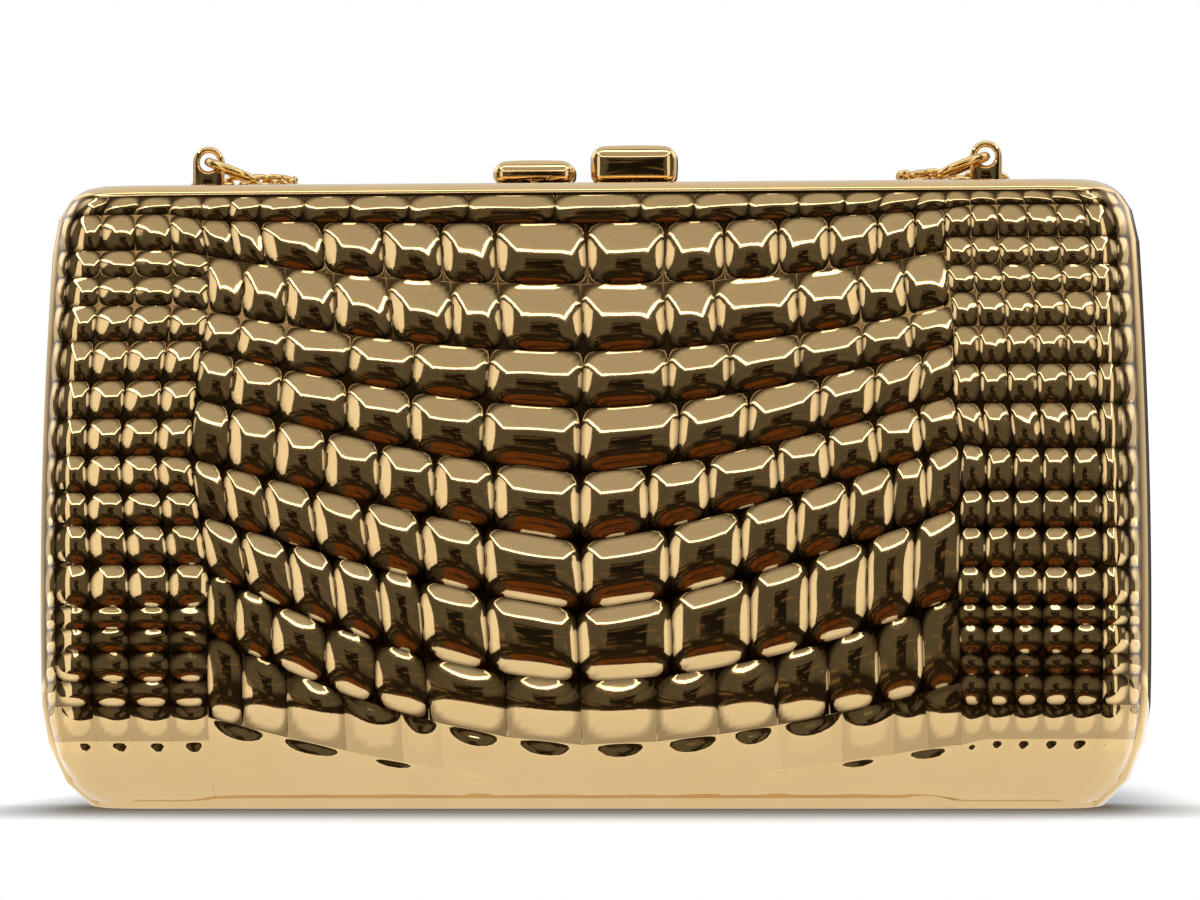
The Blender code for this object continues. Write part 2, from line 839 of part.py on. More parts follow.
def jump_ring(side, word):
    """A ring of round wire whose far side leans down towards the middle of the case."""
    eye = Vector((side * lug_spacing / 2, lug_setback, eye_height))
    lean = Vector((-side * math.cos(ring_droop), 0, -math.sin(ring_droop)))
    across = Vector((0, 1, 0))
    normal = lean.cross(across).normalized()
    centre = eye + lean * ring_radius
    bm = bmesh.new()
    loops = []
    for step in range(ring_steps):
        angle = 2 * math.pi * step / ring_steps
        out = lean * math.cos(angle) + across * math.sin(angle)
        loop = []
        for turn in range(wire_steps):
            spin = 2 * math.pi * turn / wire_steps
            offset = out * math.cos(spin) + normal * math.sin(spin)
            loop.append(bm.verts.new(centre + out * ring_radius + offset * ring_wire / 2))
        loops.append(loop)
    for index in range(ring_steps):
        loop = loops[index]
        after = loops[(index + 1) % ring_steps]
        for turn in range(wire_steps):
            side_turn = (turn + 1) % wire_steps
            bm.faces.new((loop[turn], loop[side_turn], after[side_turn], after[turn]))
    return smooth(add_object("jump_ring_" + word, bm, chain_gold))


jump_ring_left = jump_ring(-1, "left")
jump_ring_right = jump_ring(1, "right")


# Knobs: cushion-shaped heads

def cushion(x_centre, width, bottom, height):
    """A block with fully rounded edges."""
    bm = block((x_centre - width / 2, -knob_depth / 2, bottom),
               (x_centre + width / 2, knob_depth / 2, bottom + height))
    bmesh.ops.bevel(bm, geom=list(bm.edges), offset=knob_corner, segments=3, profile=0.5,
                    affect="EDGES", clamp_overlap=True)
    return bm


knob_bottom = top + knob_lift
knob_root = knob_bottom + knob_corner

# The short knob stands on the front half
fixed_knob_y = -stem_setback
fixed_knob = add_object("fixed_knob", cushion(
    fixed_knob_offset, fixed_knob_width, knob_bottom, fixed_knob_height), gold)
unite(fixed_knob, rod((fixed_knob_offset, fixed_knob_y, top - frame_outer),
                      (fixed_knob_offset, fixed_knob_y, knob_root), knob_stem_radius))
cut(fixed_knob, rod((fixed_knob_offset, fixed_knob_y, top - frame_outer - cut_overrun),
                    (fixed_knob_offset, fixed_knob_y, knob_root), screw_radius + fit_gap / 2, 12))
smooth(fixed_knob)
cut(front_shell, rod((fixed_knob_offset, fixed_knob_y, top - shell_wall - cut_overrun),
                     (fixed_knob_offset, fixed_knob_y, top + cut_overrun), knob_stem_radius + fit_gap))
cut(front_frame, rod((fixed_knob_offset, fixed_knob_y, top - lip_inner - cut_overrun),
                     (fixed_knob_offset, fixed_knob_y, top - frame_outer + cut_overrun),
                     screw_radius + fit_gap))


def screw(name, x, y, seat, tip, side=-1):
    """A pan-head screw whose head bears upwards at the seat."""
    head_end = seat + side * screw_head_height
    piece = add_object(name, rod((x, y, head_end), (x, y, seat), screw_head_radius, 12), steel)
    unite(piece, rod((x, y, seat + side * screw_head_height / 2), (x, y, tip), screw_radius, 10))
    return smooth(piece)


fixed_knob_screw = screw("fixed_knob_screw", fixed_knob_offset, fixed_knob_y,
                         top - lip_inner - fit_gap, knob_bottom)

# The tall knob is screwed to the slide's post, which stands in a slot of the rear half
slide_top = frame_under - fit_gap
slide_bottom = slide_top - slide_thickness
slide_back = stem_setback + slide_depth / 2
slide_front = stem_setback - slide_depth / 2 + fit_gap * 2
release_knob = add_object("release_knob", cushion(
    release_knob_offset, release_knob_width, knob_bottom, release_knob_height), gold)
knob_screw_tip = knob_bottom + knob_screw_bite
cut(release_knob, rod((release_knob_offset, stem_setback, knob_bottom - cut_overrun),
                      (release_knob_offset, stem_setback, knob_screw_tip + fit_gap),
                      screw_radius + fit_gap / 2, 12))
smooth(release_knob)
slot_low = (release_knob_offset - post_width / 2 - slide_travel - fit_gap,
            stem_setback - post_depth / 2 - fit_gap, frame_under - cut_overrun)
slot_high = (release_knob_offset + post_width / 2 + fit_gap,
             stem_setback + post_depth / 2 + fit_gap, top + cut_overrun)
cut(rear_frame, block(slot_low, slot_high))
cut(rear_shell, block(slot_low, slot_high))


# Slide plate with the post that carries the knob, and the finger under the front frame's lip

finger_top = top - lip_inner - fit_gap
slide_left = release_knob_offset - slide_length / 2
slide_right = slide_left + slide_length
finger_right = slide_right - fit_gap
finger_left = finger_right - finger_width
latch_slide = add_object("latch_slide", block(
    (slide_left, slide_front, slide_bottom), (slide_right, slide_back, slide_top)), steel)
unite(latch_slide, block((finger_left, slide_front, finger_top - finger_thickness),
                         (finger_right, slide_back, slide_bottom + slide_thickness / 2)))
unite(latch_slide, block((finger_left, -finger_reach, finger_top - finger_thickness),
                         (finger_right, slide_front + slide_thickness / 2, finger_top)))
unite(latch_slide, block(
    (release_knob_offset - post_width / 2, stem_setback - post_depth / 2, slide_bottom + slide_thickness / 2),
    (release_knob_offset + post_width / 2, stem_setback + post_depth / 2, knob_bottom - fit_gap)))
cut(latch_slide, rod((release_knob_offset, stem_setback, slide_bottom - cut_overrun),
                     (release_knob_offset, stem_setback, knob_bottom), screw_radius + fit_gap / 2, 12))
knob_screw = screw("knob_screw", release_knob_offset, stem_setback, slide_bottom - fit_gap, knob_screw_tip)


# Guide under the slide: a bridge whose ends are screwed up into the rear frame

guide_top = min(slide_bottom - fit_gap - screw_head_height, finger_top - finger_thickness) - fit_gap
guide_bottom = guide_top - guide_thickness
guide_left = slide_left - spring_room
guide_right = slide_right + fit_gap
guide_front = slide_front
guide_back = frame_depth - fit_gap
latch_guide = add_object("latch_guide", block(
    (guide_left - guide_end_length, guide_front, guide_bottom),
    (guide_right + guide_end_length, guide_back, guide_top)), brass)
for low_x in (guide_left - guide_end_length, guide_right):
    unite(latch_guide, block((low_x, guide_front, guide_bottom),
                             (low_x + guide_end_length, guide_back, slide_top)))
guide_screw_y = (guide_front + guide_back) / 2
guide_screw_tip = frame_under + frame_wall / 2
for word, centre in (("left", guide_left - guide_end_length / 2), ("right", guide_right + guide_end_length / 2)):
    cut(latch_guide, rod((centre, guide_screw_y, guide_bottom - cut_overrun),
                         (centre, guide_screw_y, slide_top + cut_overrun), screw_radius + fit_gap))
    cut(rear_frame, rod((centre, guide_screw_y, frame_under - cut_overrun),
                        (centre, guide_screw_y, guide_screw_tip + fit_gap), screw_radius + fit_gap))
    screw("guide_screw_" + word, centre, guide_screw_y, guide_bottom - fit_gap, guide_screw_tip)


# Return spring between the guide's left end and the slide

def tube_curve(name, points, radius, resolution, material):
    """A round tube along points, with closed ends."""
    curve = bpy.data.curves.new(name, "CURVE")
    curve.dimensions = "3D"
    curve.bevel_depth = radius
    curve.bevel_resolution = resolution
    curve.use_fill_caps = True
    spline = curve.splines.new("POLY")
    spline.points.add(len(points) - 1)
    for target, point in zip(spline.points, points):
        target.co = (*point, 1)
    curve.materials.append(material)
    piece = bpy.data.objects.new(name, curve)
    bpy.context.scene.collection.objects.link(piece)
    return piece


spring_steps = 8
spring_y = (slide_front + slide_back) / 2
spring_z = slide_top - spring_radius - spring_wire
spring_start = guide_left + fit_gap + spring_wire
spring_end = slide_left - fit_gap - spring_wire
spring_points = []
for step in range(spring_turns * spring_steps + 1):
    share = step / (spring_turns * spring_steps)
    angle = 2 * math.pi * spring_turns * share
    spring_points.append((spring_start + (spring_end - spring_start) * share,
                          spring_y + spring_radius * math.cos(angle),
                          spring_z + spring_radius * math.sin(angle)))
latch_spring = tube_curve("latch_spring", spring_points, spring_wire / 2, 1, steel)


# Keeper on the front frame, beside the finger

keeper_left = finger_right + fit_gap
keeper_front = -(finger_reach + fit_gap)
keeper_top = top - lip_inner - fit_gap
keeper = add_object("keeper", block(
    (keeper_left, keeper_front, keeper_top - keeper_height),
    (keeper_left + keeper_width, keeper_front + keeper_depth, keeper_top)), brass)
keeper_x = keeper_left + keeper_width / 2
keeper_y = keeper_front + keeper_depth / 2
keeper_screw_tip = top - frame_outer - frame_wall / 2
cut(keeper, rod((keeper_x, keeper_y, keeper_top - keeper_height - cut_overrun),
                (keeper_x, keeper_y, keeper_top + cut_overrun), screw_radius + fit_gap))
cut(front_frame, rod((keeper_x, keeper_y, top - lip_inner - cut_overrun),
                     (keeper_x, keeper_y, keeper_screw_tip + fit_gap), screw_radius + fit_gap))
keeper_screw = screw("keeper_screw", keeper_x, keeper_y, keeper_top - keeper_height - fit_gap, keeper_screw_tip)

for piece in (front_shell, rear_shell, front_frame, rear_frame, front_lining, rear_lining):
    smooth(piece)


# Chain: a run from each ring, over the shoulder and down the back, and the coil between them

def smooth_route(points, spacing):
    """Evenly spaced points on a smooth curve through a route's own points."""
    points = [Vector(point) for point in points]
    ends = [2 * points[0] - points[1]] + points + [2 * points[-1] - points[-2]]
    fine = []
    parts = 24
    for index in range(len(points) - 1):
        before, start, end, after = ends[index:index + 4]
        for step in range(parts):
            t = step / parts
            fine.append(0.5 * (2 * start + (end - before) * t
                               + (2 * before - 5 * start + 4 * end - after) * t ** 2
                               + (3 * start - before - 3 * end + after) * t ** 3))
    fine.append(points[-1])
    lengths = [0.0]
    for a, b in zip(fine, fine[1:]):
        lengths.append(lengths[-1] + (b - a).length)
    count = max(2, round(lengths[-1] / spacing))
    result = []
    index = 0
    for step in range(count + 1):
        target = lengths[-1] * step / count
        while index < len(lengths) - 2 and lengths[index + 1] < target:
            index += 1
        span = lengths[index + 1] - lengths[index]
        result.append(fine[index].lerp(fine[index + 1], (target - lengths[index]) / span))
    return result, lengths[-1]


chain_radius = chain_diameter / 2
floor_level = chain_radius + fit_gap / 3
layer_height = coil_turn_pitch
back_y = half_depth + chain_radius + fit_gap
ring_far = lug_spacing / 2 - (2 * ring_radius + ring_wire / 2) - fit_gap
coil_near = coil_offset - coil_outer_radius
coil_steps = 24


def coil_points():
    """Spiral in on the floor, climb, and spiral out on the layer above."""
    steps = coil_steps
    total = 2 * coil_turns_each_way + 0.5
    climb_start = coil_turns_each_way
    points = []
    for step in range(round(total * steps) + 1):
        turns = step / steps
        if turns <= climb_start:
            radius = coil_outer_radius - coil_turn_pitch * turns
            rise = 0.0
        elif turns >= climb_start + 0.5:
            radius = coil_outer_radius - coil_turn_pitch * (total - turns)
            rise = layer_height
        else:
            share = (turns - climb_start) / 0.5
            inner = coil_outer_radius - coil_turn_pitch * climb_start
            radius = inner - coil_turn_pitch * 0.5 * share * (1 - share)
            rise = layer_height * (3 * share ** 2 - 2 * share ** 3)
        angle = -math.pi / 2 + 2 * math.pi * turns
        points.append(Vector((radius * math.cos(angle), coil_offset + radius * math.sin(angle),
                              floor_level + rise)))
    return points


def route_length(points):
    return sum((b - a).length for a, b in zip(points, points[1:]))


def least_self_gap(points):
    """Least clear gap between the turns of a tube along points, past its own bend."""
    near = round(coil_steps / 4)
    least = min((a - b).length for index, a in enumerate(points) for b in points[index + near:])
    return least - chain_diameter


coil_route = coil_points()
chain_top = top + chain_radius + fit_gap
left_route = (
    (-ring_far, 0.0023, chain_top),
    (-0.0517, 0.0031, chain_top),
    (-0.0494, 0.0068, chain_top),
    (-0.0516, 0.0106, chain_top),
    (-0.0560, 0.0114, chain_top + 0.0001),
    (-0.0610, 0.0102, chain_top + 0.0004),
    (-0.0648, 0.0106, chain_top + 0.0003),
    (-0.0667, 0.0130, chain_top),
    (-0.0671, 0.0160, chain_top - 0.0009),
    (-0.0671, 0.0181, chain_top - 0.0025),
    (-0.0670, 0.0192, chain_top - 0.0053),
    (-0.0669, 0.0206, 0.0905),
    (-0.0666, 0.0218, 0.0840),
    (-0.0661, 0.0238, 0.0710),
    (-0.0653, 0.0252, 0.0580),
    (-0.0643, back_y, 0.0440),
    (-0.0632, back_y, 0.0300),
    (-0.0614, back_y, 0.0160),
    (-0.0580, back_y + 0.0010, 0.0080),
    (-0.0520, back_y + 0.0030, 0.0032),
    (-0.0440, back_y + 0.0050, floor_level),
    (-0.0320, back_y + 0.0066, floor_level),
    (-0.0200, coil_near - 0.0004, floor_level),
    (-0.0100, coil_near, floor_level),
    (-fit_gap, coil_near, floor_level),
)
right_route = (
    (fit_gap, coil_near, floor_level + layer_height),
    (0.0090, coil_near, floor_level + layer_height * 0.8),
    (0.0190, coil_near - 0.0006, floor_level + 0.0006),
    (0.0260, coil_near - 0.0012, floor_level),
    (0.0360, back_y + 0.0060, floor_level),
    (0.0460, back_y + 0.0042, floor_level),
    (0.0530, back_y + 0.0026, 0.0032),
    (0.0588, back_y + 0.0010, 0.0080),
    (0.0620, back_y, 0.0160),
    (0.0636, back_y, 0.0300),
    (0.0645, back_y, 0.0440),
    (0.0655, 0.0252, 0.0580),
    (0.0663, 0.0238, 0.0710),
    (0.0668, 0.0218, 0.0840),
    (0.0670, 0.0206, 0.0905),
    (0.0671, 0.0192, chain_top - 0.0053),
    (0.0672, 0.0181, chain_top - 0.0025),
    (0.0671, 0.0160, chain_top - 0.0009),
    (0.0666, 0.0130, chain_top),
    (0.0644, 0.0106, chain_top + 0.0003),
    (0.0606, 0.0102, chain_top + 0.0004),
    (0.0556, 0.0114, chain_top + 0.0001),
    (0.0512, 0.0106, chain_top),
    (0.0492, 0.0068, chain_top),
    (0.0515, 0.0031, chain_top),
    (ring_far, 0.0023, chain_top),
)
point_spacing = chain_diameter * 1.7
left_points, left_length = smooth_route(left_route, point_spacing)
right_points, right_length = smooth_route(right_route, point_spacing)
chain_left_run = tube_curve("chain_left_run", left_points, chain_radius, 2, chain_gold)
chain_right_run = tube_curve("chain_right_run", right_points, chain_radius, 2, chain_gold)
chain_coil = tube_curve("chain_coil", coil_route, chain_radius, 1, chain_gold)
print("chain length", left_length + route_length(coil_route) + right_length)
print("least gap between the coil's turns", least_self_gap(coil_route))
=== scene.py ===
"""Looks of an evening clutch: embossed gold halves, a twin-knob clasp and a link chain."""

import math

import bmesh
import bpy
from mathutils import Matrix, Vector


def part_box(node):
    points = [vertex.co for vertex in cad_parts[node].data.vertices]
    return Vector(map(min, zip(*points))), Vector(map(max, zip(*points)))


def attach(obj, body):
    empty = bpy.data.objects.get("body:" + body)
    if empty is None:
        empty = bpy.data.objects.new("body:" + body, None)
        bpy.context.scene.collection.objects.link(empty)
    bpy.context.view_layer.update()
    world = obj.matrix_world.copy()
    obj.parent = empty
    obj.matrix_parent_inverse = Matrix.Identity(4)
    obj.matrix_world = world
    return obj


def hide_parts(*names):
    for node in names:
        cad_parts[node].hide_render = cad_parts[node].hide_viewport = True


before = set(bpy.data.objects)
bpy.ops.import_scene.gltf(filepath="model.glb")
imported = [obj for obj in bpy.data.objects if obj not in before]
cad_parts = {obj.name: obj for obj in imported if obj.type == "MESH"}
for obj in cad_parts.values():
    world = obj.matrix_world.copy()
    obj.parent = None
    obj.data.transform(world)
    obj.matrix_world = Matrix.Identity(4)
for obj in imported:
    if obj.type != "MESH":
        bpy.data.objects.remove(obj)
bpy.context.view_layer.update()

# Camera
# The photograph is taken from low in front of the case, through a long lens that looks
# slightly upwards and to the left.

camera_place = Vector((0.0473, -0.8, 0.0252))
camera_yaw = math.radians(-3.33)
camera_pitch = math.radians(2.30)
camera_roll = math.radians(-0.11)
camera_lens_mm = 149.2

view_line = Vector((math.sin(camera_yaw) * math.cos(camera_pitch),
                    math.cos(camera_yaw) * math.cos(camera_pitch), math.sin(camera_pitch)))
level_right = Vector((math.cos(camera_yaw), -math.sin(camera_yaw), 0))
level_up = level_right.cross(view_line)
picture_right = level_right * math.cos(camera_roll) + level_up * math.sin(camera_roll)
picture_up = level_up * math.cos(camera_roll) - level_right * math.sin(camera_roll)


def linked(name, data):
    """A new object in the scene, from a camera, a mesh, a curve or a lamp."""
    piece = bpy.data.objects.new(name, data)
    bpy.context.scene.collection.objects.link(piece)
    return piece


camera_data = bpy.data.cameras.new("camera")
camera_data.lens = camera_lens_mm
camera = linked("camera", camera_data)
camera.location = camera_place
camera.rotation_mode = "QUATERNION"
camera_axes = Matrix((picture_right, picture_up, -view_line)).transposed()
camera.rotation_quaternion = camera_axes.to_quaternion()
bpy.context.scene.camera = camera


# Chain
# A cable chain of oval links in gold-plated brass wire, each standing across the next. It
# runs from one jump ring down the back to a coil behind the case, and up to the other ring.

chain_diameter = 0.0029
chain_wire = 0.00094
link_length = 0.0043
link_rounding = 0.96
chain_gap = 0.0003
coil_turn_pitch = 0.0034
coil_outer_radius = 0.0235
coil_turns_each_way = 3.25
coil_offset = 0.056
coil_steps = 24


class Signal:
    """A node's output socket. Sums written with it add Math nodes."""

    def __init__(self, nodes, socket):
        self.nodes = nodes
        self.socket = socket

    def __add__(self, other):
        return self.nodes.maths("ADD", self, other)

    def __radd__(self, other):
        return self.nodes.maths("ADD", other, self)

    def __sub__(self, other):
        return self.nodes.maths("SUBTRACT", self, other)

    def __rsub__(self, other):
        return self.nodes.maths("SUBTRACT", other, self)

    def __mul__(self, other):
        return self.nodes.maths("MULTIPLY", self, other)

    def __rmul__(self, other):
        return self.nodes.maths("MULTIPLY", other, self)

    def __truediv__(self, other):
        return self.nodes.maths("DIVIDE", self, other)

    def __rtruediv__(self, other):
        return self.nodes.maths("DIVIDE", other, self)

    def __pow__(self, other):
        return self.nodes.maths("POWER", self, other)

    def __mod__(self, other):
        return self.nodes.maths("MODULO", self, other)

    def __lt__(self, other):
        return self.nodes.maths("LESS_THAN", self, other)


class Nodes:
    """A node tree that is filled one node at a time."""

    def __init__(self, tree):
        self.tree = tree

    def add(self, kind, settings=None, sockets=None, output=0):
        """A node with its settings, then its sockets' values or links. Gives one of its outputs."""
        node = self.tree.nodes.new(kind)
        for name, value in (settings or {}).items():
            setattr(node, name, value)
        for name, value in (sockets or {}).items():
            if isinstance(value, Signal):
                self.tree.links.new(value.socket, node.inputs[name])
            else:
                node.inputs[name].default_value = value
        return Signal(self, node.outputs[output])

    def other(self, signal, output):
        """Another output of a signal's node."""
        return Signal(self, signal.socket.node.outputs[output])

    def feed(self, node, sources):
        """Link signals into a node's inputs."""
        for name, signal in sources.items():
            self.tree.links.new(signal.socket, node.inputs[name])

    def maths(self, operation, first, second=0.0):
        return self.add("ShaderNodeMath", {"operation": operation}, {0: first, 1: second})

    def blend(self, share, first, second):
        """A colour between two colours."""
        return self.add("ShaderNodeMix", {"data_type": "RGBA"}, {0: share, 6: first, 7: second}, 2)

    def rise_over(self, value, start, end):
        """A smooth rise from 0 at start to 1 at end."""
        return self.add("ShaderNodeMapRange", {"interpolation_type": "SMOOTHSTEP"}, {
            "Value": value, "From Min": start, "From Max": end})

    def noise(self, place, scale, detail):
        """Soft noise at a place, from 0 to 1."""
        return self.add("ShaderNodeTexNoise", {}, {
            "Vector": place, "Scale": scale, "Detail": detail}, "Fac")

    def even_points(self, curve, spacing):
        """A curve's points at an even spacing."""
        return self.add("GeometryNodeResampleCurve", {"mode": "LENGTH"}, {
            "Curve": curve, "Length": spacing})

    def along_curve(self):
        """The turn that lays X along a curve."""
        return self.add("FunctionNodeAlignRotationToVector", {"axis": "X"},
                        {"Vector": self.add("GeometryNodeInputTangent")})


def geometry_tree(name, inputs):
    """A Geometry Nodes tree with named inputs. Gives its nodes and the signals of its inputs."""
    tree = bpy.data.node_groups.new(name, "GeometryNodeTree")
    tree.interface.new_socket("Geometry", in_out="INPUT", socket_type="NodeSocketGeometry")
    tree.interface.new_socket("Geometry", in_out="OUTPUT", socket_type="NodeSocketGeometry")
    for label, kind in inputs.items():
        tree.interface.new_socket(label, in_out="INPUT", socket_type="NodeSocket" + kind)
    nodes = Nodes(tree)
    group_input = nodes.add("NodeGroupInput")
    signals = {label: nodes.other(group_input, label) for label in ["Geometry", *inputs]}
    return nodes, signals


def finish_tree(nodes, geometry, material):
    """Close a tree: real geometry, its material, and the output."""
    real = nodes.add("GeometryNodeRealizeInstances", {}, {"Geometry": geometry})
    done = nodes.add("GeometryNodeSetMaterial", {}, {"Geometry": real, "Material": material})
    output = nodes.tree.nodes.new("NodeGroupOutput")
    nodes.tree.links.new(done.socket, output.inputs[0])


def evaluated_mesh(source):
    """A plain copy of an object's mesh with its modifiers applied."""
    bpy.context.view_layer.update()
    depsgraph = bpy.context.evaluated_depsgraph_get()
    return bpy.data.meshes.new_from_object(source.evaluated_get(depsgraph))


def plain_mesh(name, source, nodes, values):
    """Run a tree on a source object and keep the result as a new object's plain mesh."""
    modifier = source.modifiers.new("form", "NODES")
    modifier.node_group = nodes.tree
    for item in nodes.tree.interface.items_tree:
        if item.in_out == "INPUT" and item.name in values:
            modifier[item.identifier] = values[item.name]
    mesh = evaluated_mesh(source)
    source.modifiers.remove(modifier)
    bpy.data.objects.remove(source, do_unlink=True)
    mesh.name = name
    return linked(name, mesh)


def surface(name):
    """A new material, with its nodes and its shader."""
    material = bpy.data.materials.new(name)
    material.use_nodes = True
    return material, Nodes(material.node_tree), material.node_tree.nodes["Principled BSDF"]


def plated_metal(name, colour, shade, roughness, grain, grain_depth, painted_groove_shade=None):
    """Polished plated metal: faint mottling of its colour and shine, and a skin that isn't quite flat. With
    a painted groove shade, the grooves are painted dark: painted shade.
    """
    material, nodes, shader = surface(name)
    shader.inputs["Metallic"].default_value = 1
    place = nodes.add("ShaderNodeTexCoord", output="Object")
    clouds = nodes.noise(place, grain / 12, 3)
    speckle = nodes.noise(place, grain, 2)
    tone = nodes.blend(clouds, (*colour, 1), (*shade, 1))
    # Painted shade: where the unshaded crest share falls to 0, in the grooves between the scales, the
    # colour goes dark.
    if painted_groove_shade:
        crest = nodes.add("ShaderNodeAttribute", {"attribute_name": "crest"}, {}, "Fac")
        tone = nodes.blend(crest, (*painted_groove_shade, 1), tone)
    shine = roughness * (0.7 + 0.6 * clouds)
    skin = nodes.add("ShaderNodeBump", {}, {"Height": clouds + speckle * 0.2, "Strength": 1.0,
                                            "Distance": grain_depth})
    nodes.feed(shader, {"Base Color": tone, "Roughness": shine, "Normal": skin})
    return material


chain_gold = plated_metal("chain_gold", (0.84, 0.58, 0.25), (0.76, 0.49, 0.19), 0.11, 2400, 0.000002)


def smooth_route(points, spacing):
    """Evenly spaced points on a smooth curve through a route's own points."""
    points = [Vector(point) for point in points]
    ends = [2 * points[0] - points[1]] + points + [2 * points[-1] - points[-2]]
    fine = []
    parts = 24
    for index in range(len(points) - 1):
        before, start, end, after = ends[index:index + 4]
        for step in range(parts):
            t = step / parts
            fine.append(0.5 * (2 * start + (end - before) * t
                               + (2 * before - 5 * start + 4 * end - after) * t ** 2
                               + (3 * start - before - 3 * end + after) * t ** 3))
    fine.append(points[-1])
    lengths = [0.0]
    for a, b in zip(fine, fine[1:]):
        lengths.append(lengths[-1] + (b - a).length)
    count = max(2, round(lengths[-1] / spacing))
    result = []
    index = 0
    for step in range(count + 1):
        target = lengths[-1] * step / count
        while index < len(lengths) - 2 and lengths[index + 1] < target:
            index += 1
        span = lengths[index + 1] - lengths[index]
        result.append(fine[index].lerp(fine[index + 1], (target - lengths[index]) / span))
    return result


shell_low, shell_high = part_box("front_shell")
top = shell_high[2]
half_depth = -shell_low[1]
case_width = shell_high[0] - shell_low[0]
chain_radius = chain_diameter / 2
floor_level = chain_radius + chain_gap / 3
layer_height = coil_turn_pitch
back_y = half_depth + chain_radius + chain_gap
coil_near = coil_offset - coil_outer_radius
chain_top = top + chain_radius + chain_gap
ring_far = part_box("jump_ring_right")[0][0] - chain_gap


def coil_points():
    """Spiral in on the floor, climb, and spiral out on the layer above."""
    total = 2 * coil_turns_each_way + 0.5
    points = []
    for step in range(round(total * coil_steps) + 1):
        turns = step / coil_steps
        if turns <= coil_turns_each_way:
            radius = coil_outer_radius - coil_turn_pitch * turns
            rise = 0.0
        elif turns >= coil_turns_each_way + 0.5:
            radius = coil_outer_radius - coil_turn_pitch * (total - turns)
            rise = layer_height
        else:
            share = (turns - coil_turns_each_way) / 0.5
            inner = coil_outer_radius - coil_turn_pitch * coil_turns_each_way
            radius = inner - coil_turn_pitch * 0.5 * share * (1 - share)
            rise = layer_height * (3 * share ** 2 - 2 * share ** 3)
        angle = -math.pi / 2 + 2 * math.pi * turns
        points.append(Vector((radius * math.cos(angle), coil_offset + radius * math.sin(angle),
                              floor_level + rise)))
    return points


left_route = (
    (-ring_far, 0.0023, chain_top),
    (-0.0517, 0.0031, chain_top),
    (-0.0494, 0.0068, chain_top),
    (-0.0516, 0.0106, chain_top),
    (-0.0560, 0.0114, chain_top + 0.0001),
    (-0.0610, 0.0102, chain_top + 0.0004),
    (-0.0648, 0.0106, chain_top + 0.0003),
    (-0.0667, 0.0130, chain_top),
    (-0.0671, 0.0160, chain_top - 0.0009),
    (-0.0671, 0.0181, chain_top - 0.0025),
    (-0.0670, 0.0192, chain_top - 0.0053),
    (-0.0669, 0.0206, 0.0905),
    (-0.0666, 0.0218, 0.0840),
    (-0.0661, 0.0238, 0.0710),
    (-0.0653, 0.0252, 0.0580),
    (-0.0643, back_y, 0.0440),
    (-0.0632, back_y, 0.0300),
    (-0.0614, back_y, 0.0160),
    (-0.0580, back_y + 0.0010, 0.0080),
    (-0.0520, back_y + 0.0030, 0.0032),
    (-0.0440, back_y + 0.0050, floor_level),
    (-0.0320, back_y + 0.0066, floor_level),
    (-0.0200, coil_near - 0.0004, floor_level),
    (-0.0100, coil_near, floor_level),
    (-chain_gap, coil_near, floor_level),
)
right_route = (
    (chain_gap, coil_near, floor_level + layer_height),
    (0.0090, coil_near, floor_level + layer_height * 0.8),
    (0.0190, coil_near - 0.0006, floor_level + 0.0006),
    (0.0260, coil_near - 0.0012, floor_level),
    (0.0360, back_y + 0.0060, floor_level),
    (0.0460, back_y + 0.0042, floor_level),
    (0.0530, back_y + 0.0026, 0.0032),
    (0.0588, back_y + 0.0010, 0.0080),
    (0.0620, back_y, 0.0160),
    (0.0636, back_y, 0.0300),
    (0.0645, back_y, 0.0440),
    (0.0655, 0.0252, 0.0580),
    (0.0663, 0.0238, 0.0710),
    (0.0668, 0.0218, 0.0840),
    (0.0670, 0.0206, 0.0905),
    (0.0671, 0.0192, chain_top - 0.0053),
    (0.0672, 0.0181, chain_top - 0.0025),
    (0.0671, 0.0160, chain_top - 0.0009),
    (0.0666, 0.0130, chain_top),
    (0.0644, 0.0106, chain_top + 0.0003),
    (0.0606, 0.0102, chain_top + 0.0004),
    (0.0556, 0.0114, chain_top + 0.0001),
    (0.0512, 0.0106, chain_top),
    (0.0492, 0.0068, chain_top),
    (0.0515, 0.0031, chain_top),
    (ring_far, 0.0023, chain_top),
)
point_spacing = chain_diameter * 1.7
chain_path = (smooth_route(left_route, point_spacing) + coil_points()
              + smooth_route(right_route, point_spacing))


def link_tree():
    """Links along a curve, turned a quarter from one to the next."""
    nodes, given = geometry_tree("chain_links", {
        "Pitch": "Float", "Link Length": "Float", "Link Width": "Float", "Wire": "Float",
        "Rounding": "Float", "Material": "Material"})
    line = nodes.even_points(given["Geometry"], given["Pitch"])
    outline = nodes.add("GeometryNodeCurvePrimitiveQuadrilateral", {}, {
        "Width": given["Link Length"] - given["Wire"], "Height": given["Link Width"] - given["Wire"]})
    rounded = nodes.add("GeometryNodeFilletCurve", {"mode": "POLY"}, {
        "Curve": outline, "Count": 2,
        "Radius": (given["Link Width"] - given["Wire"]) * given["Rounding"] / 2})
    section = nodes.add("GeometryNodeCurvePrimitiveCircle", {}, {
        "Resolution": 6, "Radius": given["Wire"] / 2})
    link = nodes.add("GeometryNodeCurveToMesh", {}, {"Curve": rounded, "Profile Curve": section})
    quarter_turn = nodes.add("GeometryNodeInputIndex") % 2 * (math.pi / 2)
    spin = nodes.add("FunctionNodeAxisAngleToRotation", {}, {
        "Axis": (1, 0, 0), "Angle": quarter_turn + math.pi / 4})
    turned = nodes.add("FunctionNodeRotateRotation", {"rotation_space": "LOCAL"},
                       {"Rotation": nodes.along_curve(), "Rotate By": spin})
    links = nodes.add("GeometryNodeInstanceOnPoints", {}, {
        "Points": line, "Instance": link, "Rotation": turned})
    finish_tree(nodes, links, given["Material"])
    return nodes


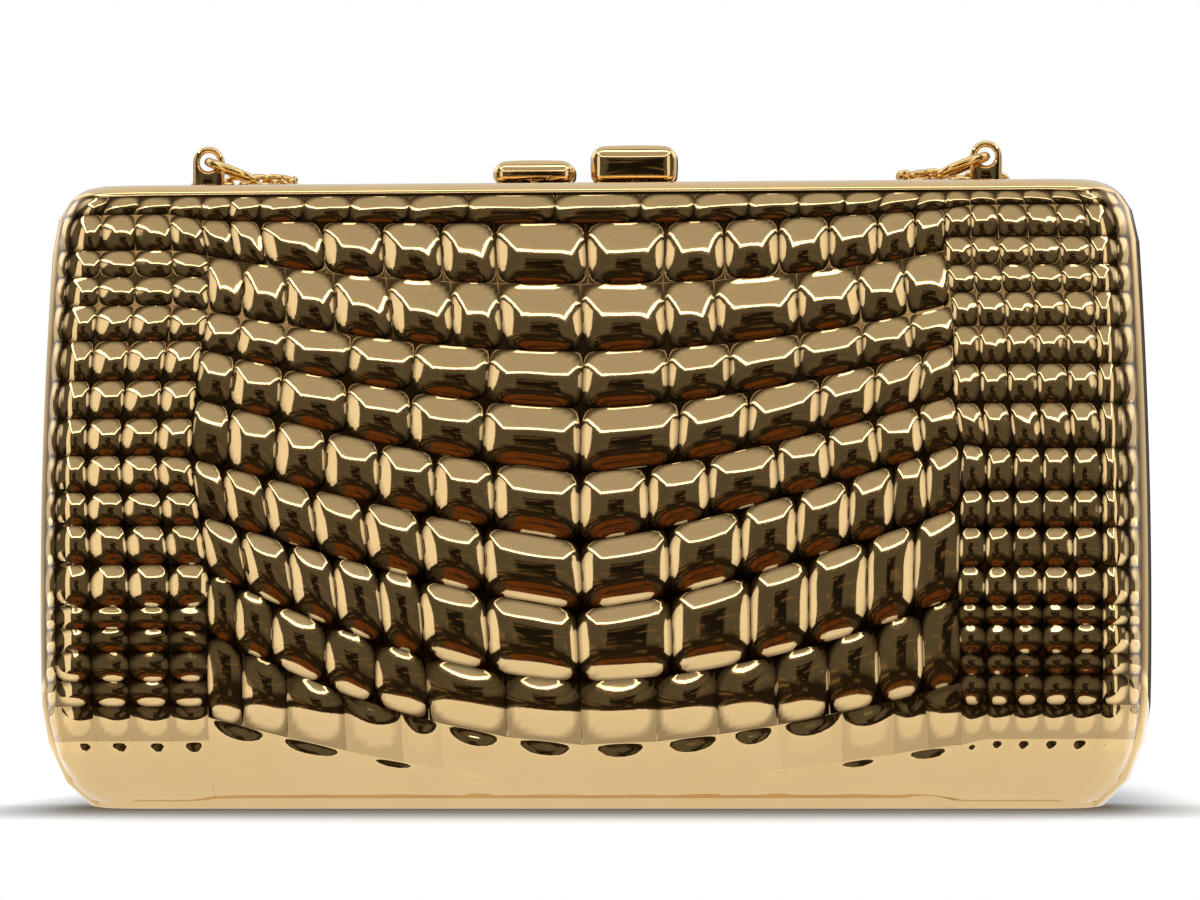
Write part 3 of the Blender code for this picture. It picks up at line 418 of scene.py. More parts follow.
def line_object(name, places, closed):
    """A curve of straight steps through places."""
    line = bpy.data.curves.new(name, "CURVE")
    line.dimensions = "3D"
    spline = line.splines.new("POLY")
    spline.points.add(len(places) - 1)
    for spot, place in zip(spline.points, places):
        spot.co = (*place, 1)
    spline.use_cyclic_u = closed
    return linked(name, line)


chain = plain_mesh("chain", line_object("chain_line", chain_path, False), link_tree(), {
    "Pitch": link_length - 2 * chain_wire, "Link Length": link_length, "Link Width": chain_diameter,
    "Wire": chain_wire, "Rounding": link_rounding, "Material": chain_gold})
chain.data.shade_smooth()
chain_length = sum((b - a).length for a, b in zip(chain_path, chain_path[1:]))
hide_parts("chain_left_run", "chain_coil", "chain_right_run")
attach(chain, "rear_half")


# Shells
# Two deep halves pressed from brass sheet, embossed with crocodile scales and plated in
# polished gold. The scales stand up between narrow grooves, inside a plain border.

side_bow = 0.0021
waist_height = 0.036
top_corner_reach = 0.0066
top_corner_drop = 0.009
bottom_corner_reach = 0.009
bottom_corner_rise = 0.018
side_round = 0.007
shoulder_drop = 0.003
shoulder_power = 0.3
shoulder_least = 0.0005
corner_row_shares = (0.6, 0.8)
belly_rise = 0.018
base_half_depth = 0.010
deepest_height = 0.038
face_curve_radius = 0.25
parting_gap = 0.0003
hinge_recess_half = 0.0024
recess_height = 0.002
recess_fade = 0.0014
border_width = 0.0016
border_steps = 6
border_slope = 0.0002
least_edge = 0.001
belly_groove = 0.0016
flank_groove = 0.001
foot_groove_share = 0.85
top_groove_share = 0.25
top_groove_fade = 0.0095
border_groove_share = 0.6
groove_change = 0.004
sheet_drop = 0.00012
inner_wall = 0.0018
steepness = 0.31
low_steepness = 0.23
low_from = 0.022
low_to = 0.036
foot_steepness = 0.4
base_steepness = 0.12
base_to = 0.0045
foot_from = 0.008
foot_to = 0.014
soft_from = 0.010
soft_to = 0.020
half_width_full = case_width / 2

# Places of the pattern's lines, seen from the front, with the left side first
row_height_shares = (
    0.976, 0.93, 0.833, 0.724, 0.633, 0.53, 0.42, 0.313, 0.2, 0.097, 0.03, 0.014, 0.004)
row_rise_shares = (
    (0, 0.008, 0.046, 0.066, 0.092, 0.114, 0.126, 0.145, 0.171, 0.177, 0.11, 0.05, 0),
    (0, 0.019, 0.055, 0.074, 0.103, 0.125, 0.155, 0.163, 0.136, 0.104, 0.07, 0.03, 0))
row_bend_powers = (1, 2, 2.2, 1.8, 1.6, 1.4, 1.2, 1.3, 1.7, 1.7, 1.5, 1.5, 1)
rise_reach_share = 0.66
seam_shares = (
    (-0.69, -0.695, -0.68, -0.675, -0.687, -0.696, -0.703, -0.687, -0.67, -0.673, -0.673, -0.673, -0.673),
    (0.633, 0.632, 0.63, 0.642, 0.646, 0.644, 0.658, 0.656, 0.651, 0.656, 0.656, 0.656, 0.656))
belly_width_shares = (
    (29, 30, 45, 47, 60, 60, 88, 87, 54, 55, 51, 46, 39, 37, 25),
    (29, 34, 60, 61, 60, 55, 93, 82, 58, 55, 51, 49, 38, 30),
    (36, 42, 49, 59, 59, 50, 80, 83, 50, 83, 60, 45, 42),
    (34, 50, 64, 65, 77, 95, 88, 61, 71, 63, 52, 39),
    (34, 54, 64, 64, 71, 101, 94, 69, 71, 55, 48, 30),
    (38, 46, 50, 54, 56, 60, 87, 68, 60, 69, 51, 48, 44, 36),
    (31, 42, 49, 53, 58, 65, 97, 89, 73, 56, 53, 45, 35, 33),
    (39, 47, 44, 45, 40, 65, 89, 92, 77, 57, 57, 46, 44),
    (28, 37, 54, 50, 54, 78, 75, 78, 59, 59, 52, 50, 44, 37),
    (35, 45, 58, 57, 40, 68, 77, 71, 70, 55, 60, 52, 35, 32),
    (65, 80, 80, 80, 80, 75, 75, 80, 75, 65),
    (65, 80, 80, 80, 80, 75, 75, 80, 75, 65))
flank_height_shares = (
    (18, 36, 27, 29, 36, 40, 38, 37, 37, 33, 39, 42, 22, 23, 29, 25, 36, 40, 24),
    (14, 32, 28, 28, 34, 38, 39, 45, 42, 37, 39, 37, 20, 28, 21, 30, 35, 40, 26))
flank_width_shares = ((32, 34, 32, 33, 15), (27, 28, 30, 31, 30, 31, 15))


def corner_cut(past, length, reach):
    """How far a rounded corner has drawn in after a stretch past its start."""
    if past <= 0:
        return 0.0
    share = min(past / length, 1)
    return reach * (1 - math.sqrt(1 - share * share))


def half_width(z, inset):
    """Half width of the case outline at a height, for a surface set in from it."""
    bow = side_bow * ((z - waist_height) / (top - waist_height)) ** 2
    top_cut = corner_cut(z - (top - top_corner_drop), top_corner_drop - inset, top_corner_reach - inset)
    low_cut = corner_cut(bottom_corner_rise - z, bottom_corner_rise - inset, bottom_corner_reach - inset)
    return half_width_full - inset - bow - top_cut - low_cut


def recess(z):
    """Distance of a half's edge from the parting plane, wider round the hinge."""
    share = min(max((z - recess_height) / recess_fade, 0), 1)
    ease = share * share * (3 - 2 * share)
    return hinge_recess_half + (parting_gap / 2 - hinge_recess_half) * ease


def arc_share(share):
    """Height of a quarter circle over its base, as a share of its radius."""
    return math.sqrt(1 - min(max(share, 0), 1) ** 2)


def face_at(z):
    """Depth of the gently bulging face at a height, between the shoulder and the lower curve."""
    return half_depth - (z - deepest_height) ** 2 / (2 * face_curve_radius)


def shoulder(angle, inset, edge):
    """Depth and height on the top shoulder, from the top edge (0) to the face (90 degrees)."""
    height = top - inset - max(shoulder_drop - inset, shoulder_least) * (1 - math.cos(angle))
    depth = edge + (face_at(height) - inset - edge) * math.sin(angle) ** shoulder_power
    return depth, height


def belly(angle, inset):
    """Depth and height on the lower curve, from the face (0) to the flat base (90 degrees)."""
    height = belly_rise - (belly_rise - inset) * math.sin(angle)
    depth = base_half_depth + (face_at(height) - inset - base_half_depth) * math.cos(angle)
    return depth, height


def quarter(steps):
    """Angles of a quarter turn."""
    return [math.pi / 2 * step / steps for step in range(steps + 1)]


def dome_grid(bm, facing, inset, edge_at, profile_steps, side_steps, face_steps):
    """Rows of vertices over a plain half, from its top edge down the face to its bottom edge."""
    profile = [shoulder(angle, inset, edge_at(top)) for angle in quarter(profile_steps)]
    heights = [top - top_corner_drop * share for share in corner_row_shares]
    high = top - top_corner_drop
    heights += [high + (belly_rise - high) * step / face_steps for step in range(face_steps)]
    profile += [(face_at(height) - inset, height) for height in heights]
    profile += [belly(angle, inset) for angle in quarter(profile_steps)]
    profile.append((edge_at(inset), inset))
    turns = [(-1, angle) for angle in reversed(quarter(side_steps))]
    turns += [(1, angle) for angle in quarter(side_steps)]
    rows = []
    for depth, height in profile:
        edge = edge_at(height)
        row = []
        for side, angle in turns:
            x = side * (half_width(height, inset) - (side_round - inset) * (1 - math.sin(angle)))
            y = edge + (depth - edge) * math.cos(angle)
            row.append(bm.verts.new((x, facing * y, height)))
        rows.append(row)
    return rows


def skin(bm, rows):
    """Faces between rows of vertices."""
    for upper, lower in zip(rows, rows[1:]):
        for index in range(len(upper) - 1):
            bm.faces.new((upper[index], upper[index + 1], lower[index + 1], lower[index]))


def rim_loop(rows):
    """The vertices round the border of a grid."""
    loop = list(rows[0])
    loop += [row[-1] for row in rows[1:-1]]
    loop += list(reversed(rows[-1]))
    loop += [row[0] for row in reversed(rows[1:-1])]
    return loop


def face_depth(z):
    """Depth of the outer surface from the parting plane at a height, away from the sides."""
    if z > top - shoulder_drop:
        turn_share = arc_share((z - top + shoulder_drop) / shoulder_drop)
        return recess(z) + (face_at(z) - recess(z)) * turn_share ** shoulder_power
    if z < belly_rise:
        return base_half_depth + (face_at(z) - base_half_depth) * arc_share((belly_rise - z) / belly_rise)
    return face_at(z)


def drawn_in(x, z, depth):
    """A face depth at x, drawn in where x lies on the side round."""
    edge = recess(z)
    past = (abs(x) - half_width(z, 0) + side_round) / side_round
    return edge + (depth - edge) * arc_share(past)


def lifted(facing, x, z, lift):
    """A point over the outer surface, square to it."""
    step = least_edge / 10
    slope_x = drawn_in(x + step, z, face_depth(z)) - drawn_in(x - step, z, face_depth(z))
    slope_z = drawn_in(x, z + step, face_depth(z + step)) - drawn_in(x, z - step, face_depth(z - step))
    out = Vector((-slope_x, 2 * step, -slope_z)).normalized()
    point = Vector((x, drawn_in(x, z, face_depth(z)), z)) + out * lift
    return Vector((point.x, facing * point.y, point.z))


def groove_at(x, z):
    """Depth of the grooves: deeper between the belly scales, and fading on the lower curve."""
    seam = [abs(share) * half_width_full for share in (seam_shares[0][0], seam_shares[1][0])][x > 0]
    belly_share = min(max((seam + groove_change / 2 - abs(x)) / groove_change, 0), 1)
    depth = flank_groove + (belly_groove - flank_groove) * belly_share
    depth *= min(max((half_width(z, 0) - abs(x)) / side_round, border_groove_share), 1)
    below_top = min((top * row_height_shares[0] - z) / top_groove_fade, 1)
    depth *= top_groove_share + (1 - top_groove_share) * below_top
    return depth * (foot_groove_share + (1 - foot_groove_share) * min(z / belly_rise, 1))


def climb(value, start, end):
    """0 below start, 1 above end, and even between them."""
    return min(max((value - start) / (end - start), 0), 1)


def steepness_at(z):
    """Rise of a scale over half its width: least on the upper part of the lower curve."""
    if z < base_to:
        return base_steepness
    low = foot_steepness + (low_steepness - foot_steepness) * climb(z, foot_from, foot_to)
    return low + (steepness - low_steepness) * climb(z, low_from, low_to)


def softness_at(z):
    """How softly the scales run into their grooves, from 0 on the face to 1 at the foot."""
    return 1 - climb(z, soft_from, soft_to)


def spread(start, end, width_shares):
    """Places from one end to the other, spaced in the given proportions."""
    places = [start]
    for share in width_shares:
        places.append(places[-1] + (end - start) * share / sum(width_shares))
    return places


def row_line(row, x):
    """Height of a boundary between belly rows at x."""
    reach_share = abs(x) / (half_width_full * rise_reach_share)
    rise = row_rise_shares[x > 0][row] * reach_share ** row_bend_powers[row]
    return top * (row_height_shares[row] + rise)


def seam_ends(side):
    """Where the belly rows' boundaries meet a seam, from the top down."""
    places = [share * half_width_full for share in seam_shares[side]]
    return [(x, row_line(row, x)) for row, x in enumerate(places)]


def seam_x(side, z):
    """Place of a seam at a height."""
    ends = seam_ends(side)
    for (x_high, z_high), (x_low, z_low) in zip(ends, ends[1:]):
        if z >= z_low:
            break
    return x_low + (x_high - x_low) * (z - z_low) / (z_high - z_low)


def seam_points(side, flank_heights):
    """Points down a seam: the belly rows' ends, and the flank rows' ends between them."""
    ends = seam_ends(side)
    points = list(ends)
    for z in flank_heights:
        if min(abs(z - end[1]) for end in ends) > least_edge:
            points.append((seam_x(side, z), z))
    return sorted(points, key=lambda point: -point[1])


def nearest(points, axis, place):
    """Index of the point nearest to a place along one axis."""
    return min(range(len(points)), key=lambda index: abs(points[index][axis] - place))


def belly_line(row):
    """Points along a boundary between belly rows, one for each scale corner on it."""
    left = seam_shares[0][row] * half_width_full
    right = seam_shares[1][row] * half_width_full
    places = []
    for neighbour in (row - 1, row):
        if 0 <= neighbour < len(belly_width_shares):
            places += spread(left, right, belly_width_shares[neighbour])[1:-1]
    line = [left]
    for place in sorted(places) + [right]:
        if place - line[-1] > least_edge:
            line.append(place)
    return [(x, row_line(row, x)) for x in line]


def stretch(points, start, end):
    """The part of a list of points from one of them to another, either way."""
    first = points.index(start)
    last = points.index(end)
    if first <= last:
        return points[first:last + 1]
    return points[last:first + 1][::-1]


def belly_scales(seams):
    """Outlines of the belly scales, each as its upper, right, lower and left side."""
    scales = []
    for row, width_shares in enumerate(belly_width_shares):
        upper = belly_line(row)
        lower = belly_line(row + 1)
        above = [nearest(upper, 0, x) for x in spread(upper[0][0], upper[-1][0], width_shares)]
        below = [nearest(lower, 0, x) for x in spread(lower[0][0], lower[-1][0], width_shares)]
        for index in range(len(width_shares)):
            top_side = upper[above[index]:above[index + 1] + 1]
            low_side = lower[below[index]:below[index + 1] + 1][::-1]
            right_side = [top_side[-1], low_side[0]]
            left_side = [low_side[-1], top_side[0]]
            if index == 0:
                left_side = stretch(seams[0], *left_side)
            if index == len(width_shares) - 1:
                right_side = stretch(seams[1], *right_side)
            scales.append((top_side, right_side, low_side, left_side))
    return scales


def border_x(side, z):
    """Where the plain border starts at a height."""
    return (-1, 1)[side] * (half_width(z, 0) - border_width)


def flank_line(side, seam, z):
    """Points along a boundary between flank rows, from the seam outwards."""
    start = seam[nearest(seam, 1, z)]
    places = spread(start[0], border_x(side, z), flank_width_shares[side])[1:]
    return [start] + [(x, z) for x in places]


def flank_scales(side, seam, heights):
    """Outlines of one field of flank scales, in the same order of sides."""
    scales = []
    for z_high, z_low in zip(heights, heights[1:]):
        upper = flank_line(side, seam, z_high)
        lower = flank_line(side, seam, z_low)
        for index in range(len(upper) - 1):
            inner_side = [lower[index], upper[index]]
            if index == 0:
                inner_side = stretch(seam, lower[0], upper[0])
            outer_side = [upper[index + 1], lower[index + 1]]
            scales.append((upper[index:index + 2], outer_side, lower[index:index + 2][::-1], inner_side))
    return scales


def border_columns(z):
    """Places across the plain border at a height, from the pattern to the rim."""
    start = math.asin(1 - (border_width - border_slope) / side_round)
    angles = [start + (math.pi / 2 - start) * step / border_steps for step in range(border_steps + 1)]
    return [half_width(z, 0) - side_round * (1 - math.sin(angle)) for angle in angles]


def border_row(bm, facing, line, depth, z):
    """A plain row over or under the pattern, from rim to rim, with a place for each point of a line."""
    columns = border_columns(z)
    reach = half_width(z, 0) - border_width
    places = [-x for x in reversed(columns)]
    places += [x * reach / line[-1][0] for x, height in line]
    places += columns
    return [bm.verts.new((x, facing * drawn_in(x, z, depth), z)) for x in places]


def outside(bm, facing, scales, heights, seams, crest):
    """The outer sheet at the grooves' level, with its plain border. Gives the vertices round its rim."""
    pattern_top = top * row_height_shares[0]
    pattern_foot = top * row_height_shares[-1]
    spots = {}
    for sides in scales:
        for point in [point for side in sides for point in side]:
            if point not in spots:
                spots[point] = bm.verts.new(lifted(facing, *point, -groove_at(*point) - sheet_drop))
        bm.faces.new([spots[point] for side in sides for point in side[:-1]])

    # Plain strips down both sides, from the pattern to the rim
    strips = []
    for side, sign in enumerate((-1, 1)):
        strip = []
        for z in heights[side]:
            plain = [bm.verts.new((sign * x, facing * drawn_in(x, z, face_depth(z)), z))
                     for x in border_columns(z)]
            strip.append([spots[flank_line(side, seams[side], z)[-1]]] + plain)
        skin(bm, strip)
        strips.append(strip)

    # Plain rows over and under the pattern
    ends = []
    for row, index in ((0, 0), (len(belly_width_shares), -1)):
        left = flank_line(0, seams[0], heights[0][index])[::-1]
        right = flank_line(1, seams[1], heights[1][index])
        line = left + belly_line(row)[1:-1] + right
        line_verts = [spots[point] for point in line]
        ends.append((line, strips[0][index][:0:-1] + line_verts + strips[1][index][1:]))
    (top_line, top_row), (low_line, low_row) = ends
    top_angle = math.acos(1 - (top - pattern_top - border_slope) / shoulder_drop)
    over = [border_row(bm, facing, top_line, *shoulder(top_angle * step / border_steps, 0, recess(top)))
            for step in range(border_steps)]
    over.append(border_row(bm, facing, top_line, face_depth(pattern_top + border_slope),
                           pattern_top + border_slope))
    under = [border_row(bm, facing, low_line, face_depth(pattern_foot / 2), pattern_foot / 2),
             border_row(bm, facing, low_line, base_half_depth, 0),
             border_row(bm, facing, low_line, recess(0), 0)]
    skin(bm, over + [top_row])
    skin(bm, [low_row] + under)
    # Share of each vertex kept free of the painted groove shade: 1 on the border and inside, and on the
    # grooves' points only as far as the scales soften at the foot.
    for vert in bm.verts:
        vert[crest] = 1
    for (x, z), vert in spots.items():
        vert[crest] = softness_at(z)
    rim = list(over[0]) + [row[-1] for row in over[1:] + strips[1] + under[:-1]]
    rim += under[-1][::-1]
    rim += [row[0] for row in under[-2::-1]] + [row[-1] for row in strips[0][::-1]]
    rim += [row[0] for row in over[:0:-1]]
    return rim


def length_shares(loop):
    """How far round a closed loop each of its vertices lies, from 0 to 1."""
    steps = [(after.co - vert.co).length for vert, after in zip(loop, loop[1:] + loop[:1])]
    shares = [0.0]
    for step in steps:
        shares.append(shares[-1] + step / sum(steps))
    return shares


def stitch(bm, outer, inner):
    """Triangles between two closed loops that start at the same corner."""
    outer_shares = length_shares(outer)
    inner_shares = length_shares(inner)
    i = 0
    j = 0
    while i < len(outer) or j < len(inner):
        here = outer[i % len(outer)]
        there = inner[j % len(inner)]
        if j == len(inner) or (i < len(outer) and outer_shares[i + 1] <= inner_shares[j + 1]):
            i += 1
            bm.faces.new((here, outer[i % len(outer)], there))
        else:
            j += 1
            bm.faces.new((here, inner[j % len(inner)], there))


def mesh_of(name, bm):
    """The finished mesh of one under construction."""
    mesh = bpy.data.meshes.new(name)
    bm.to_mesh(mesh)
    bm.free()
    return mesh


def sheet_body(name, facing, scales, heights, seams):
    """A half without its raised scales, as a closed body: outside, inside and rim."""
    bm = bmesh.new()
    outer = outside(bm, facing, scales, heights, seams, bm.verts.layers.float.new("crest"))
    rows = dome_grid(bm, facing, inner_wall, recess, 6, 5, 12)
    skin(bm, rows)
    stitch(bm, outer, rim_loop(rows))
    bmesh.ops.recalc_face_normals(bm, faces=bm.faces)
    return linked(name + "_sheet", mesh_of(name, bm))


def cut_slots(piece, boxes):
    """Cut boxes out of a half's top."""
    for low, high in boxes:
        bm = bmesh.new()
        bmesh.ops.create_cube(bm, size=1)
        for vert in bm.verts:
            vert.co = Vector([low[axis] + (high[axis] - low[axis]) * (vert.co[axis] + 0.5)
                              for axis in range(3)])
        tool = linked("slot", mesh_of("slot", bm))
        modifier = piece.modifiers.new("slot", "BOOLEAN")
        modifier.operation = "DIFFERENCE"
        modifier.object = tool
        piece.data = evaluated_mesh(piece)
        piece.modifiers.clear()
        bpy.data.objects.remove(tool, do_unlink=True)


def halfway(points):
    """The point halfway along a line of points."""
    lengths = [0.0]
    for a, b in zip(points, points[1:]):
        lengths.append(lengths[-1] + math.dist(a, b))
    for a, b, start, end in zip(points, points[1:], lengths, lengths[1:]):
        if end >= lengths[-1] / 2:
            break
    share = (lengths[-1] / 2 - start) / (end - start)
    return (a[0] + (b[0] - a[0]) * share, a[1] + (b[1] - a[1]) * share)


def scale_spots(name, facing, scales, belly_count):
    """A point for each scale, which carries nine places on its base and the way it leans.

    A place's name ends in its column and its row, from low left (00) to top right (22).
    """
    bm = bmesh.new()
    words = ["place_%d%d" % (column, row) for column in range(3) for row in range(3)] + ["outwards"]
    marks = {word: bm.verts.layers.float_vector.new(word) for word in words}
    for word in ("rise", "lean", "softness", "squareness"):
        marks[word] = bm.verts.layers.float.new(word)
    for number, (upper, right, lower, left) in enumerate(scales):
        if upper[0][0] > upper[-1][0]:
            upper, right, lower, left = upper[::-1], left[::-1], lower[::-1], right[::-1]
        sides = [halfway(side) for side in (lower, left, right, upper)]
        centre = (sum(x for x, z in sides) / 4, sum(z for x, z in sides) / 4)
        flat = {"00": lower[-1], "10": sides[0], "20": lower[0],
                "01": sides[1], "11": centre, "21": sides[2],
                "02": upper[0], "12": sides[3], "22": upper[-1]}
        places = {word: lifted(facing, *point, -groove_at(*point)) for word, point in flat.items()}
        across = places["21"] - places["01"]
        up = places["12"] - places["10"]
        vert = bm.verts.new(places["11"])
        for word, place in places.items():
            vert[marks["place_" + word]] = place
        vert[marks["outwards"]] = across.cross(up).normalized() * -facing
        half = min(across.length, up.length) / 2
        vert[marks["rise"]] = min(groove_at(*centre), steepness_at(vert.co.z) * half)
        vert[marks["softness"]] = softness_at(vert.co.z)
        vert[marks["squareness"]] = belly_squareness if number < belly_count else flank_squareness
        if number >= belly_count:
            vert[marks["lean"]] = flank_lean_share * (-1 if vert.co.x > 0 else 1)
    return linked(name + "_spots", mesh_of(name, bm))


def scale_tree():
    """A pillow on each point, fitted to the point's nine places, and the sheet under them."""
    nodes, given = geometry_tree("raised_scales", {
        "Sheet": "Object", "Steps": "Int", "Corner Round": "Float", "Edge Reach": "Float",
        "Dome Power": "Float", "Fullness": "Float", "Rim Share": "Float", "Rim Power": "Float",
        "Foot Lean": "Float", "Ripple": "Float", "Ripple Scale": "Float", "Material": "Material"})

    def named(word, kind="FLOAT"):
        return nodes.add("GeometryNodeInputNamedAttribute", {"data_type": kind}, {"Name": word})

    def vector_maths(operation, first, second=None, scale=None):
        sockets = {0: first, 1: second, "Scale": scale}
        sockets = {key: value for key, value in sockets.items() if value is not None}
        output = "Value" if operation == "LENGTH" else "Vector"
        return nodes.add("ShaderNodeVectorMath", {"operation": operation}, sockets, output)

    grid = nodes.add("GeometryNodeMeshGrid", {}, {
        "Size X": 2.0, "Size Y": 2.0, "Vertices X": given["Steps"], "Vertices Y": given["Steps"]})
    unit = nodes.add("GeometryNodeStoreNamedAttribute", {"data_type": "FLOAT_VECTOR", "domain": "POINT"}, {
        "Geometry": grid, "Name": "unit", "Value": nodes.add("GeometryNodeInputPosition")})
    copies = nodes.add("GeometryNodeInstanceOnPoints", {}, {"Points": given["Geometry"], "Instance": unit})
    patches = nodes.add("GeometryNodeRealizeInstances", {}, {"Geometry": copies})

    # Places across (u) and up (v) each scale, from -1 to 1, closer together by its edges
    place = nodes.add("ShaderNodeSeparateXYZ", {}, {"Vector": named("unit", "FLOAT_VECTOR")})
    u = nodes.maths("SINE", place * (math.pi / 2))
    v = nodes.maths("SINE", nodes.other(place, "Y") * (math.pi / 2))
    corner_round = given["Corner Round"] * (1 - named("softness"))
    u_round = u * nodes.maths("SQRT", 1 - corner_round * v * v)
    v_round = v * nodes.maths("SQRT", 1 - corner_round * u * u)

    def place_named(column, row):
        return named("place_%d%d" % (column, row), "FLOAT_VECTOR")

    def thirds(place):
        """Shares of the low, middle and high places at a place from -1 to 1."""
        return (place * (place - 1) * 0.5, 1 - place * place, place * (place + 1) * 0.5)

    on_sheet = (0.0, 0.0, 0.0)
    for column, across_share in enumerate(thirds(u_round)):
        for row, up_share in enumerate(thirds(v_round)):
            part = vector_maths("SCALE", place_named(column, row), scale=across_share * up_share)
            on_sheet = vector_maths("ADD", on_sheet, part)
    across = vector_maths("SUBTRACT", place_named(2, 1), place_named(0, 1))
    up = vector_maths("SUBTRACT", place_named(1, 2), place_named(1, 0))

    # The pillow's height falls off towards its edges, and steeply at its rounded rim
    outwards_sum = 0.0
    full = 1.0
    gentle = 1.0
    for axis, place, lean in ((across, u, named("lean")), (up, v, named("softness") * given["Foot Lean"])):
        half = vector_maths("LENGTH", axis) / 2
        reach = nodes.maths("MINIMUM", half, given["Edge Reach"])
        off_peak = nodes.maths("ABSOLUTE", place - (1 - place * place) * lean)
        inwards = nodes.maths("MAXIMUM", (off_peak - 1) * half / reach + 1)
        outwards_sum = inwards ** named("squareness") + outwards_sum
        full = full * (1 - inwards ** given["Dome Power"])
        gentle = gentle * (1 - inwards * inwards)
    off_centre = outwards_sum ** (1 / named("squareness"))
    round_dome = 1 - off_centre ** given["Dome Power"]
    dome = nodes.maths("MAXIMUM", round_dome + given["Fullness"] * (full - round_dome))
    rim = nodes.maths("MAXIMUM", 1 - off_centre ** given["Rim Power"])
    crisp = dome + given["Rim Share"] * (rim - dome)
    height = named("rise") * (crisp + named("softness") * (gentle * gentle - crisp))
    dip = nodes.noise(on_sheet, given["Ripple Scale"], 1) - 1
    height = height + dip * given["Ripple"] * nodes.maths("MINIMUM", height / named("rise") * 2, 1.0)
    domed = nodes.add("GeometryNodeSetPosition", {}, {
        "Geometry": patches,
        "Position": vector_maths("ADD", on_sheet, vector_maths(
            "SCALE", named("outwards", "FLOAT_VECTOR"), scale=height))})
    # Share kept free of the painted groove shade: 0 where a pillow meets its groove, 1 a little way up it,
    # and 1 all over at the foot.
    above_groove = nodes.maths("MINIMUM", height / named("rise") * 4, 1.0)
    crest = nodes.maths("MAXIMUM", named("softness"), above_groove)
    crested = nodes.add("GeometryNodeStoreNamedAttribute", {"data_type": "FLOAT", "domain": "POINT"}, {
        "Geometry": domed, "Name": "crest", "Value": crest})
    smooth = nodes.add("GeometryNodeSetShadeSmooth", {}, {"Geometry": crested})
    sheet = nodes.add("GeometryNodeObjectInfo", {}, {"Object": given["Sheet"]}, "Geometry")
    both = nodes.tree.nodes.new("GeometryNodeJoinGeometry")
    for part in (smooth, sheet):
        nodes.tree.links.new(part.socket, both.inputs[0])
    finish_tree(nodes, Signal(nodes, both.outputs[0]), given["Material"])
    return nodes


# The shell's grooves get a painted shade of dark brown, where the scales meet.
shell_gold = plated_metal("shell_gold", (0.86, 0.61, 0.30), (0.82, 0.57, 0.26), 0.07, 900, 0.000002,
                          painted_groove_shade=(0.11, 0.065, 0.025))
flank_lean_share = 0.2
belly_squareness = 3.0
flank_squareness = 2.4
pillow_form = {
    "Steps": 14, "Corner Round": 0.05, "Edge Reach": 0.0052, "Dome Power": 2.2, "Fullness": 0.3,
    "Rim Share": 0.08, "Rim Power": 14.0, "Foot Lean": 0.35, "Ripple": 0.00022, "Ripple Scale": 240.0}

# Slots through the top: for the lugs and the release knob's post, and a hole for the fixed stem
slot_gap = 0.0003
slot_overrun = 0.001
slot_depth = 0.0045
slot_floor = top - slot_depth
lug_end_margin = 0.0259
lug_spacing = case_width - 2 * lug_end_margin
lug_width = 0.0051
lug_thickness = 0.0015
lug_setback = 0.0023
stem_offset = -0.0097
stem_setback = 0.0026
stem_radius = 0.0012
post_offset = 0.0064
post_width = 0.004
post_depth = 0.002
post_travel = 0.0019


def slot_box(x_low, x_high, y_low, y_high):
    """Corners of a slot round something that stands through the top."""
    return ((x_low - slot_gap, y_low - slot_gap, slot_floor),
            (x_high + slot_gap, y_high + slot_gap, top + slot_overrun))


lug_front = lug_setback - lug_thickness / 2
lug_back = lug_setback + lug_thickness / 2
slots = {
    "front": [slot_box(stem_offset - stem_radius, stem_offset + stem_radius,
                       -stem_setback - stem_radius, -stem_setback + stem_radius)],
    "rear": [slot_box(post_offset - post_width / 2 - post_travel, post_offset + post_width / 2,
                      stem_setback - post_depth / 2, stem_setback + post_depth / 2)]}
for side in (-1, 1):
    lug_x = side * lug_spacing / 2
    slots["rear"].append(slot_box(lug_x - lug_width / 2, lug_x + lug_width / 2, lug_front, lug_back))
scale_nodes = scale_tree()
row_top, row_foot = top * row_height_shares[0], top * row_height_shares[-1]
flank_heights = [spread(row_top, row_foot, shares) for shares in flank_height_shares]
seams = [seam_points(side, flank_heights[side]) for side in (0, 1)]
belly_outlines = belly_scales(seams)
outlines = (belly_outlines + flank_scales(0, seams[0], flank_heights[0])
            + flank_scales(1, seams[1], flank_heights[1]))
for name, facing, body in (("front", -1, "front_half"), ("rear", 1, "rear_half")):
    sheet = sheet_body(name, facing, outlines, flank_heights, seams)
    cut_slots(sheet, slots[name])
    sheet.data.shade_smooth()
    spots = scale_spots(name, facing, outlines, len(belly_outlines))
    shell = plain_mesh(name + "_shell_embossed", spots, scale_nodes, {
        **pillow_form, "Sheet": sheet, "Material": shell_gold})
    bpy.data.objects.remove(sheet, do_unlink=True)
    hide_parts(name + "_shell")
    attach(shell, body)
    print(name, "shell triangles", sum(len(face.vertices) - 2 for face in shell.data.polygons))


# Knobs
# Two cushion-shaped knobs, cast in brass and plated like the case. The short one is fixed on
# the front half. The tall one stands on the post of the sprung slide in the rear half.

knob_corner = 0.0019
knob_foot_corner = 0.0008
knob_crown = 0.0003
stem_neck_share = 0.7
knob_flat_steps = 8
round_steps = 6
knob_gold = plated_metal("knob_gold", (0.86, 0.61, 0.30), (0.82, 0.56, 0.25), 0.06, 700, 0.0000015)


def ticks(half, corner, flat_steps):
    """Places along half a side and back: even turns round each edge, even steps between them."""
    bends = [corner * math.tan(math.pi / 4 * step / round_steps) for step in range(round_steps + 1)]
    inner = half - corner
    flat = [inner * (2 * step / flat_steps - 1) for step in range(1, flat_steps)]
    return [-inner - bend for bend in reversed(bends)] + flat + [inner + bend for bend in bends]


